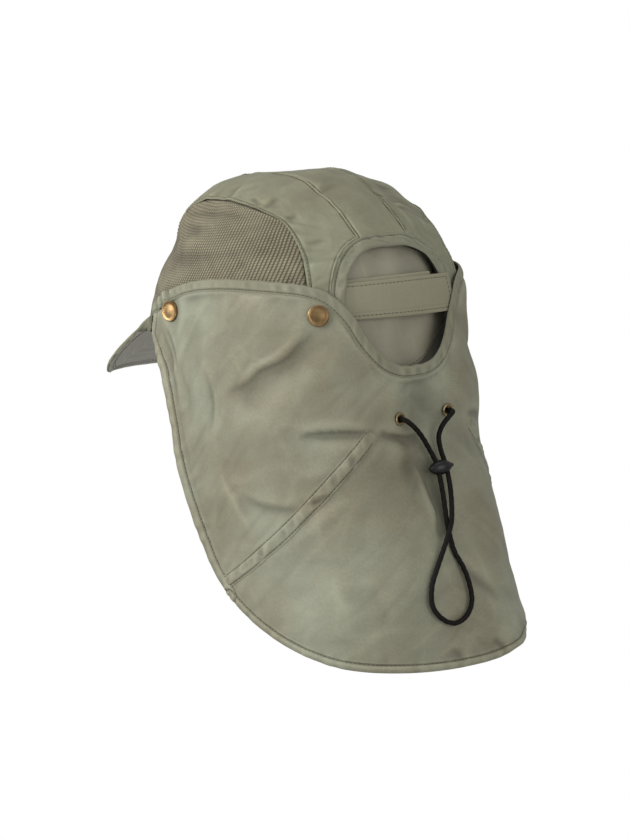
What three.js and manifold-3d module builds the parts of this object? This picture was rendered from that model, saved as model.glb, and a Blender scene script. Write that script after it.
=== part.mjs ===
// A sun cap with a neck cape, in millimetres, with +Z up.
// The origin is the middle of the head opening, the wearer's left is +X and the peak points to -Y.
import * as THREE from 'three';
import Module from 'manifold-3d';
import { mergeVertices } from 'three/addons/utils/BufferGeometryUtils.js';

const wasm = await Module();
wasm.setup();

// The crown, measured at its base, which tips down towards the peak.
const HALF_WIDTH = 91;
const BACK_REACH = 106;
const FRONT_REACH = 108;
const CROWN_HEIGHT = 97;
const TIP_FORWARD = 6;
const TOP_LEAN = 15;

// Cloth and the clearance between neighbouring pieces.
const CLOTH = 1.2;
const MESH_CLOTH = 1;
const GAP = 0.35;
const GAP_TURN = 0.3;

// The opening at the back of the crown and the strap across it.
const ARCH_TURN = 22.5;
const ARCH_LIFT = 27.5;
const ARCH_HEM = 4.2;
const ARCH_SQUARENESS = 3;
const STRAP_LOW = 2.8;
const STRAP_HIGH = 15.3;
const STRIP_LEFT = 18.5;
const STRIP_RIGHT = 17;
const STRIP_DRIFT = -4;

// The peak.
const PEAK_HALF_WIDTH = 84;
const PEAK_CENTRE = -60;
const PEAK_LENGTH = 129;
const PEAK_SQUARENESS = 2.4;
const PEAK_THICKNESS = 2.8;
const PEAK_TURN = 127;
const PEAK_ROOT_HEIGHT = 2.5;
const PEAK_DROP = 52;

// The cape stands this far off the crown, and its bound edge and tunnels are this wide.
const CAPE_EASE = 3.2;
const CAPE_BINDING = 6.5;
const TUNNEL_WIDTH = 8.5;
const MM_PER_DEGREE = 1.75;

// Hardware.
const SNAP_RADIUS = 6.2;
const STUD_THICKNESS = 0.8;
const EYELET_BORE = 2.4;
const EYELET_RADIUS = 4.2;
const CORD_RADIUS = 1.6;
const LOCK_LENGTH = 18;
const LOCK_RADIUS = 4.6;

const finish = {
  crown: new THREE.MeshStandardMaterial({ color: 0x97977f, roughness: 0.85, metalness: 0 }),
  mesh: new THREE.MeshStandardMaterial({ color: 0x8c8669, roughness: 0.95, metalness: 0 }),
  peak: new THREE.MeshStandardMaterial({ color: 0x8f8b7c, roughness: 0.85, metalness: 0 }),
  binding: new THREE.MeshStandardMaterial({ color: 0x8f9078, roughness: 0.85, metalness: 0 }),
  strap: new THREE.MeshStandardMaterial({ color: 0x8d8a72, roughness: 0.85, metalness: 0 }),
  cape: new THREE.MeshStandardMaterial({ color: 0x94957d, roughness: 0.85, metalness: 0 }),
  brass: new THREE.MeshStandardMaterial({ color: 0x8a6436, roughness: 0.4, metalness: 1 }),
  eyelet: new THREE.MeshStandardMaterial({ color: 0x5a4a2c, roughness: 0.4, metalness: 1 }),
  cord: new THREE.MeshStandardMaterial({ color: 0x211d16, roughness: 0.9, metalness: 0 }),
  lock: new THREE.MeshStandardMaterial({ color: 0x242224, roughness: 0.45, metalness: 0 }),
};

// Soft dents and swellings of the crown: where, in degrees, how wide, and how deep in mm.
const DENTS = [
  { turn: 143, lift: 31, spread: 9, depth: 4 },
  { turn: 128, lift: 31, spread: 9, depth: 4.5 },
  { turn: 112, lift: 31, spread: 9, depth: 4 },
  { turn: 131, lift: 2, spread: 10, depth: -3.5 },
  { turn: 125, lift: 60, spread: 14, depth: -2 },
  { turn: -55, lift: 62, spread: 20, depth: -3.5 },
  { turn: -55, lift: 42, spread: 14, depth: -1.5 },
  { turn: -128, lift: 33, spread: 9, depth: 4 },
  { turn: -131, lift: 2, spread: 10, depth: -3.5 },
];

// How far the cape flares past the crown's base, at every 40 mm down.
const FLARE = [
  { side: 0, back: 0 },
  { side: 1.5, back: 4 },
  { side: 2, back: 6 },
  { side: 5, back: 15 },
  { side: 9, back: 28 },
  { side: 13, back: 38 },
];
const FLARE_STEP = 40;

// Folds of the cape, from one place to another: turn in degrees, height in mm, depth outwards in mm.
const FOLDS = [
  { turn: -4, height: -56, toTurn: -2, toHeight: -84, width: 23, depth: -10.5 },
  { turn: 37, height: -16, toTurn: 58, toHeight: -36, width: 12, depth: -2.5 },
  { turn: 2, height: -92, toTurn: -1, toHeight: -122, width: 14, depth: -2.5 },
  { turn: 16, height: -138, toTurn: 34, toHeight: -190, width: 26, depth: 4 },
  { turn: -33, height: -88, toTurn: -17, toHeight: -73, width: 15, depth: -1.6 },
  { turn: -37, height: -16, toTurn: -58, toHeight: -36, width: 12, depth: -2.5 },
  { turn: -62, height: -80, toTurn: -62, toHeight: -175, width: 42, depth: -2.8 },
  { turn: -64, height: -84, toTurn: -46, toHeight: -78, width: 13, depth: -2 },
];

// The vent's border from the front of the base, over the top, to the back of the base.
const VENT_BORDER = [
  { turn: 146, lift: 0 },
  { turn: 145, lift: 13 },
  { turn: 142, lift: 27 },
  { turn: 136, lift: 39 },
  { turn: 124, lift: 47 },
  { turn: 108, lift: 53.5 },
  { turn: 86, lift: 55.5 },
  { turn: 67, lift: 52 },
  { turn: 53, lift: 47 },
  { turn: 43, lift: 41 },
  { turn: 38, lift: 33 },
  { turn: 35.5, lift: 24 },
  { turn: 34.5, lift: 12 },
  { turn: 34.5, lift: 0 },
];
const VENT_FRONT_CORNER = 0.3;
const VENT_REAR_CORNER = 0.74;

// The cape's edges on its left half, from the middle of the back: the top edge with its scoop,
// the front edge downwards from there, and the hem back to the middle.
const TOP_EDGE = [
  { turn: 0, height: -26 },
  { turn: 5, height: -25.3 },
  { turn: 9.5, height: -21.5 },
  { turn: 13.5, height: -13.5 },
  { turn: 16.5, height: -5 },
  { turn: 19, height: 4 },
  { turn: 22.5, height: 13 },
  { turn: 28, height: 22 },
  { turn: 35, height: 27 },
  { turn: 54, height: 31.5 },
  { turn: 69, height: 33 },
  { turn: 85, height: 32 },
  { turn: 103, height: 27 },
  { turn: 113, height: 22 },
  { turn: 121, height: 16 },
];
const FRONT_EDGE = [
  { turn: 122.5, height: -4 },
  { turn: 117, height: -16 },
  { turn: 110.5, height: -31 },
  { turn: 106, height: -50 },
  { turn: 101.5, height: -76 },
  { turn: 95.5, height: -97 },
  { turn: 87.5, height: -118 },
  { turn: 77, height: -146 },
  { turn: 68, height: -162 },
];
const HEM_EDGE = [
  { turn: 60, height: -173 },
  { turn: 51, height: -183.5 },
  { turn: 41.5, height: -193 },
  { turn: 31, height: -201 },
  { turn: 17, height: -205.5 },
  { turn: 0, height: -207 },
];

// The drawcord's tunnels, from beside each eyelet down to the front edge: how far round to the left
// and how far round to the right.
const TUNNEL_LINE = [
  { left: 15.5, right: -24, height: -62 },
  { left: 26, right: -34, height: -83 },
  { left: 37.5, right: -45, height: -105 },
  { left: 50, right: -57, height: -127.5 },
  { left: 63, right: -68, height: -146 },
];

// The cloth behind the back opening: its free edge, from the top round to the bottom.
const PANEL_TOP = [
  { turn: 27, height: 53 },
  { turn: 8, height: 53.5 },
  { turn: -10, height: 50.5 },
  { turn: -20, height: 43 },
];
const PANEL_SIDE = [
  { turn: -20, height: 43 },
  { turn: -27.5, height: 31 },
  { turn: -27, height: 12 },
  { turn: -24, height: -4 },
];
const PANEL_BOTTOM = [
  { turn: 27, height: -38 },
  { turn: 10, height: -36 },
  { turn: -4, height: -26 },
  { turn: -24, height: -4 },
];

const { lerp, smoothstep, degToRad } = THREE.MathUtils;

function bearing(turn, lift) {
  const around = degToRad(turn);
  const up = degToRad(lift);
  return new THREE.Vector3(Math.sin(around) * Math.cos(up), Math.cos(around) * Math.cos(up), Math.sin(up));
}

function tipForward(point) {
  return point.applyAxisAngle(new THREE.Vector3(1, 0, 0), degToRad(TIP_FORWARD));
}

// 0 at the middle of the back and 1 at the middle of the front.
function frontness(x, y) {
  const reach = Math.hypot(x, y);
  return reach > 0 ? (1 - y / reach) / 2 : 0.5;
}

function dentAt(direction) {
  let depth = 0;
  for (const dent of DENTS) {
    const angle = direction.angleTo(bearing(dent.turn, dent.lift)) / degToRad(dent.spread);
    depth += dent.depth * Math.exp(-angle * angle);
  }
  return depth;
}

function planReach(x, y, side, back, front, squareness) {
  const ahead = y > 0 ? back : front;
  const sum = Math.abs(x / side) ** squareness + Math.abs(y / ahead) ** squareness;
  return sum ** (-1 / squareness);
}

// The crown's outer face along a direction, before it is tipped forward.
function crownFace(direction) {
  const d = direction.clone().normalize();
  const front = frontness(d.x, d.y);
  const ahead = lerp(BACK_REACH, FRONT_REACH, front);
  const planSquareness = 2.05 + 0.35 * front;
  const fullness = 2.12 + 0.3 * front;
  const plan = (Math.abs(d.x / HALF_WIDTH) ** planSquareness + Math.abs(d.y / ahead) ** planSquareness)
    ** (1 / planSquareness);
  const reach = (plan ** fullness + Math.abs(d.z / CROWN_HEIGHT) ** fullness) ** (-1 / fullness);
  const point = d.clone().multiplyScalar(reach - dentAt(d));
  point.y -= TOP_LEAN * Math.max(0, (point.z - 38) / 59) ** 1.5;
  return point;
}

// A point on the crown, a distance outside its outer face.
function onCrown(direction, out = 0) {
  const d = direction.clone().normalize();
  const aside = new THREE.Vector3(d.y, -d.x, 0);
  if (aside.length() < 0.05) aside.set(1, 0, 0);
  aside.normalize();
  const upward = new THREE.Vector3().crossVectors(aside, d).normalize();
  const step = 0.01;
  const here = crownFace(d);
  const next = crownFace(d.clone().addScaledVector(aside, step)).sub(here);
  const above = crownFace(d.clone().addScaledVector(upward, step)).sub(here);
  const normal = new THREE.Vector3().crossVectors(next, above).normalize();
  if (normal.dot(d) < 0) normal.negate();
  return tipForward(here.addScaledVector(normal, out));
}

function flareAt(depth, key) {
  const rows = FLARE.map((row, index) => new THREE.Vector2(index, row[key]));
  const t = Math.min(depth / FLARE_STEP / (FLARE.length - 1), 1.1);
  if (t <= 1) return new THREE.SplineCurve(rows).getPoint(t).y;
  const last = rows[rows.length - 1].y;
  return last + (last - rows[rows.length - 2].y) * (t - 1) * (FLARE.length - 1);
}

function foldAt(turn, height) {
  let depth = 0;
  for (const fold of FOLDS) {
    const start = new THREE.Vector2(fold.turn * MM_PER_DEGREE, fold.height);
    const along = new THREE.Vector2(fold.toTurn * MM_PER_DEGREE, fold.toHeight).sub(start);
    const from = new THREE.Vector2(turn * MM_PER_DEGREE, height).sub(start);
    const t = THREE.MathUtils.clamp(from.dot(along) / along.lengthSq(), 0, 1);
    const away = from.sub(along.multiplyScalar(t)).length() / fold.width;
    depth += fold.depth * Math.exp(-away * away);
  }
  return depth;
}

// A point round the head at a height above the crown's base, tipped with the crown. Above the base
// it follows the crown, and below it either hangs straight down or flares as the cape does.
function roundHead(turn, height, out, drapes) {
  const angle = degToRad(turn);
  const x = Math.sin(angle);
  const y = Math.cos(angle);
  const front = frontness(x, y);
  const depth = Math.max(0, -height);
  const drop = drapes ? Math.min(depth / 120, 1) : 0;
  const side = HALF_WIDTH + (drapes ? flareAt(depth, 'side') : 0);
  const back = BACK_REACH + (drapes ? flareAt(depth, 'back') : 0);
  const squareness = 2.05 + 0.35 * front + 0.25 * drop * (1 - front);
  let reach = planReach(x, y, side, back, FRONT_REACH, squareness);
  const fullness = 2.12 + 0.3 * front;
  reach *= (1 - (Math.max(0, height) / CROWN_HEIGHT) ** fullness) ** (1 / fullness);
  reach -= dentAt(new THREE.Vector3(x * reach, y * reach, height));
  reach += out + (drapes ? foldAt(turn, height) : 0);
  return tipForward(new THREE.Vector3(x * reach, y * reach, height));
}

// The cape's outer face and its outward direction there.
function onCape(turn, height, out = 0) {
  const point = roundHead(turn, height, CAPE_EASE, true);
  if (out === 0) return point;
  return point.addScaledVector(capeNormal(turn, height), out);
}

function capeNormal(turn, height) {
  const step = 0.5;
  const here = roundHead(turn, height, CAPE_EASE, true);
  const beside = roundHead(turn + step, height, CAPE_EASE, true).sub(here);
  const above = roundHead(turn, height + step, CAPE_EASE, true).sub(here);
  return new THREE.Vector3().crossVectors(above, beside).normalize();
}

function isInsideOut(geometry) {
  const position = geometry.attributes.position;
  const index = geometry.index;
  const corners = [new THREE.Vector3(), new THREE.Vector3(), new THREE.Vector3()];
  let volume = 0;
  for (let i = 0; i < index.count; i += 3) {
    corners.forEach((corner, k) => corner.fromBufferAttribute(position, index.getX(i + k)));
    volume += corners[0].dot(corners[1].cross(corners[2]));
  }
  return volume < 0;
}

function weld(geometry) {
  geometry.deleteAttribute('normal');
  geometry.deleteAttribute('uv');
  const welded = mergeVertices(geometry, 1e-5);
  if (isInsideOut(welded)) {
    const index = welded.index;
    for (let i = 0; i < index.count; i += 3) {
      const second = index.getX(i + 1);
      index.setX(i + 1, index.getX(i + 2));
      index.setX(i + 2, second);
    }
  }
  welded.computeVertexNormals();
  return welded;
}

// A closed wall: place(u, v, w) is a point for u and v from 0 to 1 over the sheet,
// with w 0 on its inner face and 1 on its outer face.
function sheet(columns, rows, place) {
  const box = new THREE.BoxGeometry(1, 1, 1, columns, rows, 1);
  const position = box.attributes.position;
  for (let i = 0; i < position.count; i += 1) {
    const u = Math.round((position.getX(i) + 0.5) * columns) / columns;
    const v = Math.round((position.getY(i) + 0.5) * rows) / rows;
    const w = Math.round(position.getZ(i) + 0.5);
    const point = place(u, v, w);
    position.setXYZ(i, point.x, point.y, point.z);
  }
  return weld(box);
}

function toManifold(geometry) {
  return new wasm.Manifold(new wasm.Mesh({
    numProp: 3,
    vertProperties: new Float32Array(geometry.attributes.position.array),
    triVerts: new Uint32Array(geometry.index.array),
  }));
}

function cutAway(geometry, tools) {
  let solid = toManifold(geometry);
  for (const tool of tools) solid = solid.subtract(toManifold(tool));
  const mesh = solid.getMesh();
  const result = new THREE.BufferGeometry();
  result.setAttribute('position', new THREE.BufferAttribute(new Float32Array(mesh.vertProperties), 3));
  result.setIndex(new THREE.BufferAttribute(new Uint32Array(mesh.triVerts), 1));
  result.computeVertexNormals();
  return result;
}

// A smooth curve through a table's rows, read at even steps.
function curveThrough(points) {
  const curve = new THREE.CatmullRomCurve3(points, false, 'centripetal');
  curve.arcLengthDivisions = 400;
  return curve;
}

function directionCurve(rows) {
  return curveThrough(rows.map((row) => bearing(row.turn, row.lift)));
}

function clothPoint(row) {
  return new THREE.Vector3(row.turn * MM_PER_DEGREE, row.height, 0);
}

function mirrored(rows) {
  return rows.map((row) => ({ turn: -row.turn, height: row.height }));
}

// Fills the space between four edges that meet at their ends.
function fillBetween(bottom, top, left, right, u, v) {
  const point = bottom(u).multiplyScalar(1 - v).addScaledVector(top(u), v);
  point.addScaledVector(left(v), 1 - u).addScaledVector(right(v), u);
  point.addScaledVector(bottom(0), -(1 - u) * (1 - v)).addScaledVector(bottom(1), -u * (1 - v));
  return point.addScaledVector(top(0), -(1 - u) * v).addScaledVector(top(1), -u * v);
}

// The edge of the back opening's hem, as a direction for each turn between its two sides.
function archLift(turn, grow) {
  const share = Math.min(1, Math.abs(turn) / (ARCH_TURN + grow));
  return (ARCH_LIFT + grow) * (1 - share ** ARCH_SQUARENESS) ** (1 / ARCH_SQUARENESS);
}

function archCurve(grow, fromTurn = ARCH_TURN + grow, toTurn = -ARCH_TURN - grow) {
  const points = [];
  const samples = 80;
  for (let i = 0; i <= samples; i += 1) {
    const side = Math.cos((Math.PI * i) / samples);
    const turn = (ARCH_TURN + grow) * Math.sign(side) * Math.abs(side) ** (2 / ARCH_SQUARENESS);
    if (turn <= fromTurn + 1e-9 && turn >= toTurn - 1e-9) points.push(bearing(turn, archLift(turn, grow)));
  }
  return curveThrough(points);
}

// The centre strip runs from the front of the base, over the top, to the hem of the opening.
function stripDirection(across, roll) {
  const angle = degToRad(roll);
  const ahead = roll > 90 ? BACK_REACH : FRONT_REACH;
  const drift = STRIP_DRIFT * Math.sin(angle) ** 2 * smoothstep(150 - roll, 0, 50);
  return new THREE.Vector3(across + drift, -ahead * Math.cos(angle), CROWN_HEIGHT * Math.sin(angle));
}

function stripEndRoll(across, grow) {
  let low = 90;
  let high = 179;
  for (let i = 0; i < 40; i += 1) {
    const middle = (low + high) / 2;
    const d = stripDirection(across, middle);
    const turn = THREE.MathUtils.radToDeg(Math.atan2(d.x, d.y));
    const lift = THREE.MathUtils.radToDeg(Math.atan2(d.z, Math.hypot(d.x, d.y)));
    if (lift > archLift(turn, grow)) low = middle;
    else high = middle;
  }
  return low;
}

const HEM_GROW = ARCH_HEM;
const PANEL_GROW = ARCH_HEM + GAP_TURN;

function centerStrip() {
  return sheet(4, 26, (u, v, w) => {
    const across = lerp(-STRIP_RIGHT, STRIP_LEFT, u);
    const roll = lerp(0, stripEndRoll(across, PANEL_GROW), v);
    return onCrown(stripDirection(across, roll), (w - 1) * CLOTH);
  });
}

const ventBorder = directionCurve(VENT_BORDER);
const ventCentre = bearing(92, 20);

function growFrom(direction, centre, degrees) {
  const away = direction.clone().sub(centre).normalize();
  const grown = direction.clone().addScaledVector(away, degToRad(degrees));
  grown.z = Math.max(0, grown.z);
  return grown;
}

function sidePanel(side) {
  const edge = (side > 0 ? STRIP_LEFT : STRIP_RIGHT) + GAP;
  const cornerShare = 0.7;
  const endRoll = stripEndRoll(edge * side, PANEL_GROW);
  const corner = stripDirection(edge * side, endRoll);
  const cornerTurn = Math.abs(THREE.MathUtils.radToDeg(Math.atan2(corner.x, corner.y)));
  const archSide = (share) => {
    const swing = Math.sin(share * Math.PI / 2);
    const turn = lerp(cornerTurn, ARCH_TURN + PANEL_GROW, swing);
    return bearing(turn * side, share === 1 ? 0 : archLift(turn, PANEL_GROW));
  };
  return sheet(32, 5, (u, v, w) => {
    const inner = growFrom(ventBorder.getPointAt(u), ventCentre, GAP_TURN);
    inner.x *= side;
    const outer = u < cornerShare
      ? stripDirection(edge * side, lerp(0, endRoll, u / cornerShare)).normalize()
      : archSide((u - cornerShare) / (1 - cornerShare));
    return onCrown(inner.lerp(outer, v), (w - 1) * CLOTH);
  });
}

function meshPanel(side) {
  const bottom = (u) => bearing(lerp(VENT_BORDER[0].turn, VENT_BORDER[VENT_BORDER.length - 1].turn, u), 0);
  const top = (u) => ventBorder.getPointAt(lerp(VENT_FRONT_CORNER, VENT_REAR_CORNER, u));
  const front = (v) => ventBorder.getPointAt(VENT_FRONT_CORNER * v);
  const rear = (v) => ventBorder.getPointAt(1 - (1 - VENT_REAR_CORNER) * v);
  return sheet(14, 8, (u, v, w) => {
    const direction = fillBetween(bottom, top, front, rear, u, v);
    direction.x *= side;
    return onCrown(direction, (w - 1) * MESH_CLOTH);
  });
}

function archBinding() {
  const inner = archCurve(0);
  const outer = archCurve(HEM_GROW);
  const cloth = 1.6;
  return sheet(30, 1, (u, v, w) => {
    const direction = inner.getPointAt(u).lerp(outer.getPointAt(u), v);
    return onCrown(direction, 0.1 + (w - 1) * cloth);
  });
}

// The strap leaves the opening's left hem from behind and ends on the right hem's outer face.
function strapLayer(leftTurn, rightTurn, lowLift, highLift, leftOut, rightOut) {
  const cloth = 0.95;
  return sheet(10, 2, (u, v, w) => {
    const turn = lerp(leftTurn, rightTurn, u);
    const across = smoothstep(-turn, -ARCH_TURN + 3, ARCH_TURN - 2);
    const out = lerp(leftOut, rightOut, across);
    return onCrown(bearing(turn, lerp(lowLift, highLift, v)), out + w * cloth);
  });
}

function innerBackPanel() {
  const top = curveThrough(PANEL_TOP.map(clothPoint));
  const right = curveThrough(PANEL_SIDE.map(clothPoint));
  const bottom = curveThrough(PANEL_BOTTOM.map(clothPoint));
  const left = (v) => clothPoint(PANEL_BOTTOM[0]).lerp(clothPoint(PANEL_TOP[0]), v);
  const edges = [(u) => bottom.getPointAt(u), (u) => top.getPointAt(u), left, (v) => right.getPointAt(1 - v)];
  const cloth = 1;
  return sheet(8, 9, (u, v, w) => {
    const spot = fillBetween(...edges, u, v);
    const inward = lerp(-5.9, -10, smoothstep(u, 0, 0.8));
    return roundHead(spot.x / MM_PER_DEGREE, spot.y, inward + w * cloth, false);
  });
}

function peak() {
  const rim = curveThrough(Array.from({ length: 61 }, (_, i) => {
    const angle = degToRad(lerp(-90, 90, i / 60));
    const x = PEAK_HALF_WIDTH * Math.sign(-angle) * Math.abs(Math.sin(angle)) ** (2 / PEAK_SQUARENESS);
    const y = PEAK_CENTRE - PEAK_LENGTH * Math.abs(Math.cos(angle)) ** (2 / PEAK_SQUARENESS);
    const forward = Math.min(1, Math.max(0, (PEAK_CENTRE - y) / 100));
    const droop = 2 * Math.max(0, (-y - 160) / 25);
    return new THREE.Vector3(x, y, PEAK_ROOT_HEIGHT - PEAK_DROP * (1 - (1 - forward) ** 1.1) - droop);
  }));
  return sheet(26, 4, (u, v, w) => {
    const seat = Math.min(u, 1 - u) < 0.05 ? GAP : -CLOTH;
    const root = roundHead(lerp(PEAK_TURN, 360 - PEAK_TURN, u), -GAP, seat, false);
    const point = root.lerp(rim.getPointAt(u), v);
    point.z += 2.5 * Math.sin(Math.PI * v) * Math.sin(Math.PI * u) - (1 - w) * PEAK_THICKNESS;
    return point;
  });
}

// The cape's outline, in mm round it and mm up it, and the same outline inside its bound top edge.
const topEdge = curveThrough([...TOP_EDGE.slice().reverse(), ...mirrored(TOP_EDGE).slice(1)].map(clothPoint));

function insideTopEdge(u, distance) {
  const along = topEdge.getTangentAt(u);
  return topEdge.getPointAt(u).add(new THREE.Vector3(-along.y, along.x, 0).multiplyScalar(distance));
}

const capeEdges = (() => {
  const below = CAPE_BINDING + GAP + 0.15;
  const corner = FRONT_EDGE[FRONT_EDGE.length - 1];
  const left = curveThrough([insideTopEdge(0, below), ...FRONT_EDGE.map(clothPoint)]);
  const right = curveThrough([insideTopEdge(1, below), ...mirrored(FRONT_EDGE).map(clothPoint)]);
  const hemRows = [corner, ...HEM_EDGE, ...mirrored(HEM_EDGE).reverse().slice(1), ...mirrored([corner])];
  const hem = curveThrough(hemRows.map(clothPoint));
  return [
    (u) => hem.getPointAt(u),
    (u) => insideTopEdge(u, below),
    (v) => left.getPointAt(1 - v),
    (v) => right.getPointAt(1 - v),
  ];
})();

const EYELETS = [
  { name: 'eyelet_left', turn: 6.3, height: -57.5 },
  { name: 'eyelet_right', turn: -15, height: -56.4 },
];

// Turns a piece made along +Z to stand on the cape at a place, a distance off its outer face.
function standOnCape(mesh, turn, height, out) {
  mesh.position.copy(onCape(turn, height, out));
  mesh.quaternion.setFromUnitVectors(new THREE.Vector3(0, 0, 1), capeNormal(turn, height));
  return mesh;
}

function turned(profile, segments) {
  const geometry = new THREE.LatheGeometry(profile.map(([r, z]) => new THREE.Vector2(r, z)), segments);
  geometry.rotateX(Math.PI / 2);
  return weld(geometry);
}

function neckCape() {
  const cloth = sheet(48, 22, (u, v, w) => {
    const fromMiddle = 2 * u - 1;
    const across = 0.5 + fromMiddle * (0.35 + 0.15 * fromMiddle ** 2);
    const spot = fillBetween(...capeEdges, across, v);
    return onCape(spot.x / MM_PER_DEGREE, spot.y, (w - 1) * CLOTH);
  });
  const holes = EYELETS.map(({ turn, height }) => {
    const punch = new THREE.CylinderGeometry(3.5, 3.5, 12, 16);
    punch.rotateX(Math.PI / 2);
    const tool = weld(punch);
    const place = standOnCape(new THREE.Object3D(), turn, height, 0);
    place.updateMatrix();
    return tool.applyMatrix4(place.matrix);
  });
  return cutAway(cloth, holes);
}

function capeBinding() {
  const cloth = 1.5;
  return sheet(64, 1, (u, v, w) => {
    const spot = insideTopEdge(u, CAPE_BINDING * (1 - v));
    return onCape(spot.x / MM_PER_DEGREE, spot.y, 0.2 + (w - 1) * cloth);
  });
}

function drawcordTunnel(name) {
  const line = curveThrough(TUNNEL_LINE.map((row) => clothPoint({ turn: row[name], height: row.height })));
  const edgeCloth = 0.8;
  const fullness = 1.8;
  return sheet(16, 4, (u, v, w) => {
    const along = line.getTangentAt(u);
    const across = (v - 0.5) * TUNNEL_WIDTH;
    const spot = line.getPointAt(u).add(new THREE.Vector3(-along.y, along.x, 0).multiplyScalar(across));
    const puff = edgeCloth + fullness * Math.sin(Math.PI * v);
    return onCape(spot.x / MM_PER_DEGREE, spot.y, GAP + 0.3 + w * puff);
  });
}

// Each snap is a domed cap outside the cape and a low stud between the cape and the crown.
const SNAPS = [
  { name: 'front_left', turn: 103, height: 13.2 },
  { name: 'rear_left', turn: 31.5, height: 9 },
  { name: 'rear_right', turn: -57, height: 11 },
  { name: 'front_right', turn: -103, height: 13.2 },
];
const SNAP_PROFILE = [[0, 0], [SNAP_RADIUS - 0.5, 0], [SNAP_RADIUS, 0.5], [SNAP_RADIUS, 1.2],
  [SNAP_RADIUS - 0.6, 1.8], [SNAP_RADIUS - 1.6, 1.7], [2.5, 2], [0, 2.1]];
const STUD_PROFILE = [[0, 0], [4, 0], [4, STUD_THICKNESS], [0, STUD_THICKNESS]];
const EYELET_PROFILE = [[EYELET_BORE, -2.4], [EYELET_RADIUS, -2.4], [EYELET_RADIUS, -1.8], [3, -1.8],
  [3, 0.6], [EYELET_RADIUS, 0.6], [EYELET_RADIUS - 0.2, 1.1], [EYELET_RADIUS - 0.8, 1.4],
  [EYELET_BORE, 1.3], [EYELET_BORE, -2.4]];

// The drawcord's route from the left eyelet, through the lock, round its loop and back to the right one.
const CORD_ROUTE = [
  [12.9, 108.5, -46.3],
  [12.1, 111.9, -46.0],
  [11.3, 115.3, -45.8],
  [9.7, 118.5, -47.0],
  [6.0, 119.8, -50.3],
  [0.8, 118.6, -55.0],
  [-4.4, 117.0, -60.6],
  [-8.5, 117.4, -67.2],
  [-10.8, 120.4, -74.2],
  [-10.6, 124.2, -81.2],
  [-9.9, 128.2, -90.0],
  [-8.6, 132.8, -99.6],
  [-6.9, 137.4, -109.0],
  [-5.9, 141.8, -116.4],
  [-5.6, 147.0, -125.0],
  [-9.0, 151.6, -134.6],
  [-10.7, 156.0, -145.3],
  [-9.2, 159.9, -154.2],
  [-2.8, 163.0, -161.3],
  [6.5, 164.0, -164.2],
  [14.7, 162.4, -160.9],
  [20.0, 159.3, -153.1],
  [18.0, 155.5, -141.8],
  [11.9, 152.3, -132.2],
  [4.0, 148.5, -121.6],
  [-2.1, 145.1, -113.8],
  [-7.5, 141.0, -107.6],
  [-11.9, 135.4, -99.6],
  [-15.2, 129.6, -89.8],
  [-16.4, 125.0, -80.6],
  [-16.6, 121.2, -73.6],
  [-15.9, 118.2, -66.6],
  [-15.2, 117.4, -59.0],
  [-17.0, 118.6, -52.2],
  [-21.2, 119.4, -47.2],
  [-25.6, 117.6, -45.0],
  [-27.7, 113.8, -44.9],
  [-27.9, 108.4, -45.3],
  [-28.0, 104.9, -45.5],
];
const CORD_STEPS = 64;
const LOCK_PLACE = [-13.6, 122.7, -77.4];
const LOCK_LONG_WAY = [-0.984, 0.135, 0.116];
const LOCK_BORE_WAY = [0.027, 0.476, -0.879];
const LOCK_BORE_SPREAD = 2.9;
const LOCK_BORE = 2.15;

function drawcord() {
  const route = new THREE.CatmullRomCurve3(CORD_ROUTE.map((p) => new THREE.Vector3(...p)), false, 'centripetal');
  const section = new THREE.Shape(Array.from({ length: 8 }, (_, i) => {
    const angle = degToRad(45 * i);
    return new THREE.Vector2(CORD_RADIUS * Math.cos(angle), CORD_RADIUS * Math.sin(angle));
  }));
  return weld(new THREE.ExtrudeGeometry(section, { steps: CORD_STEPS, extrudePath: route }));
}

// A bean with a small pointed tip, bored through for each run of the cord.
function cordLock() {
  const profile = [];
  for (let i = 0; i <= 10; i += 1) {
    const t = i / 10;
    const swell = Math.sin(Math.PI * t) ** 0.55 * LOCK_RADIUS;
    profile.push([i === 0 || i === 10 ? 0 : swell, (t - 0.55) * (LOCK_LENGTH - 2)]);
  }
  profile[10] = [1.2, (LOCK_LENGTH - 2) * 0.45 - 0.3];
  profile.push([1.2, LOCK_LENGTH / 2 - 1], [0, LOCK_LENGTH / 2 - 0.8]);
  const longWay = new THREE.Vector3(...LOCK_LONG_WAY).normalize();
  const boreWay = new THREE.Vector3(...LOCK_BORE_WAY);
  boreWay.addScaledVector(longWay, -boreWay.dot(longWay)).normalize();
  const frame = new THREE.Matrix4().makeBasis(boreWay, new THREE.Vector3().crossVectors(longWay, boreWay), longWay);
  const bores = [-LOCK_BORE_SPREAD, LOCK_BORE_SPREAD].map((along) => {
    const bore = new THREE.CylinderGeometry(LOCK_BORE, LOCK_BORE, 14, 12);
    bore.rotateZ(Math.PI / 2);
    bore.translate(0, 0, along);
    return weld(bore);
  });
  const geometry = cutAway(turned(profile, 16), bores);
  return geometry.applyMatrix4(frame.setPosition(...LOCK_PLACE));
}

const cap = new THREE.Group();

function add(name, geometry, material) {
  const mesh = new THREE.Mesh(geometry, material);
  mesh.name = name;
  cap.add(mesh);
  return mesh;
}

const SIDES = [{ name: 'left', side: 1 }, { name: 'right', side: -1 }];

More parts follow.
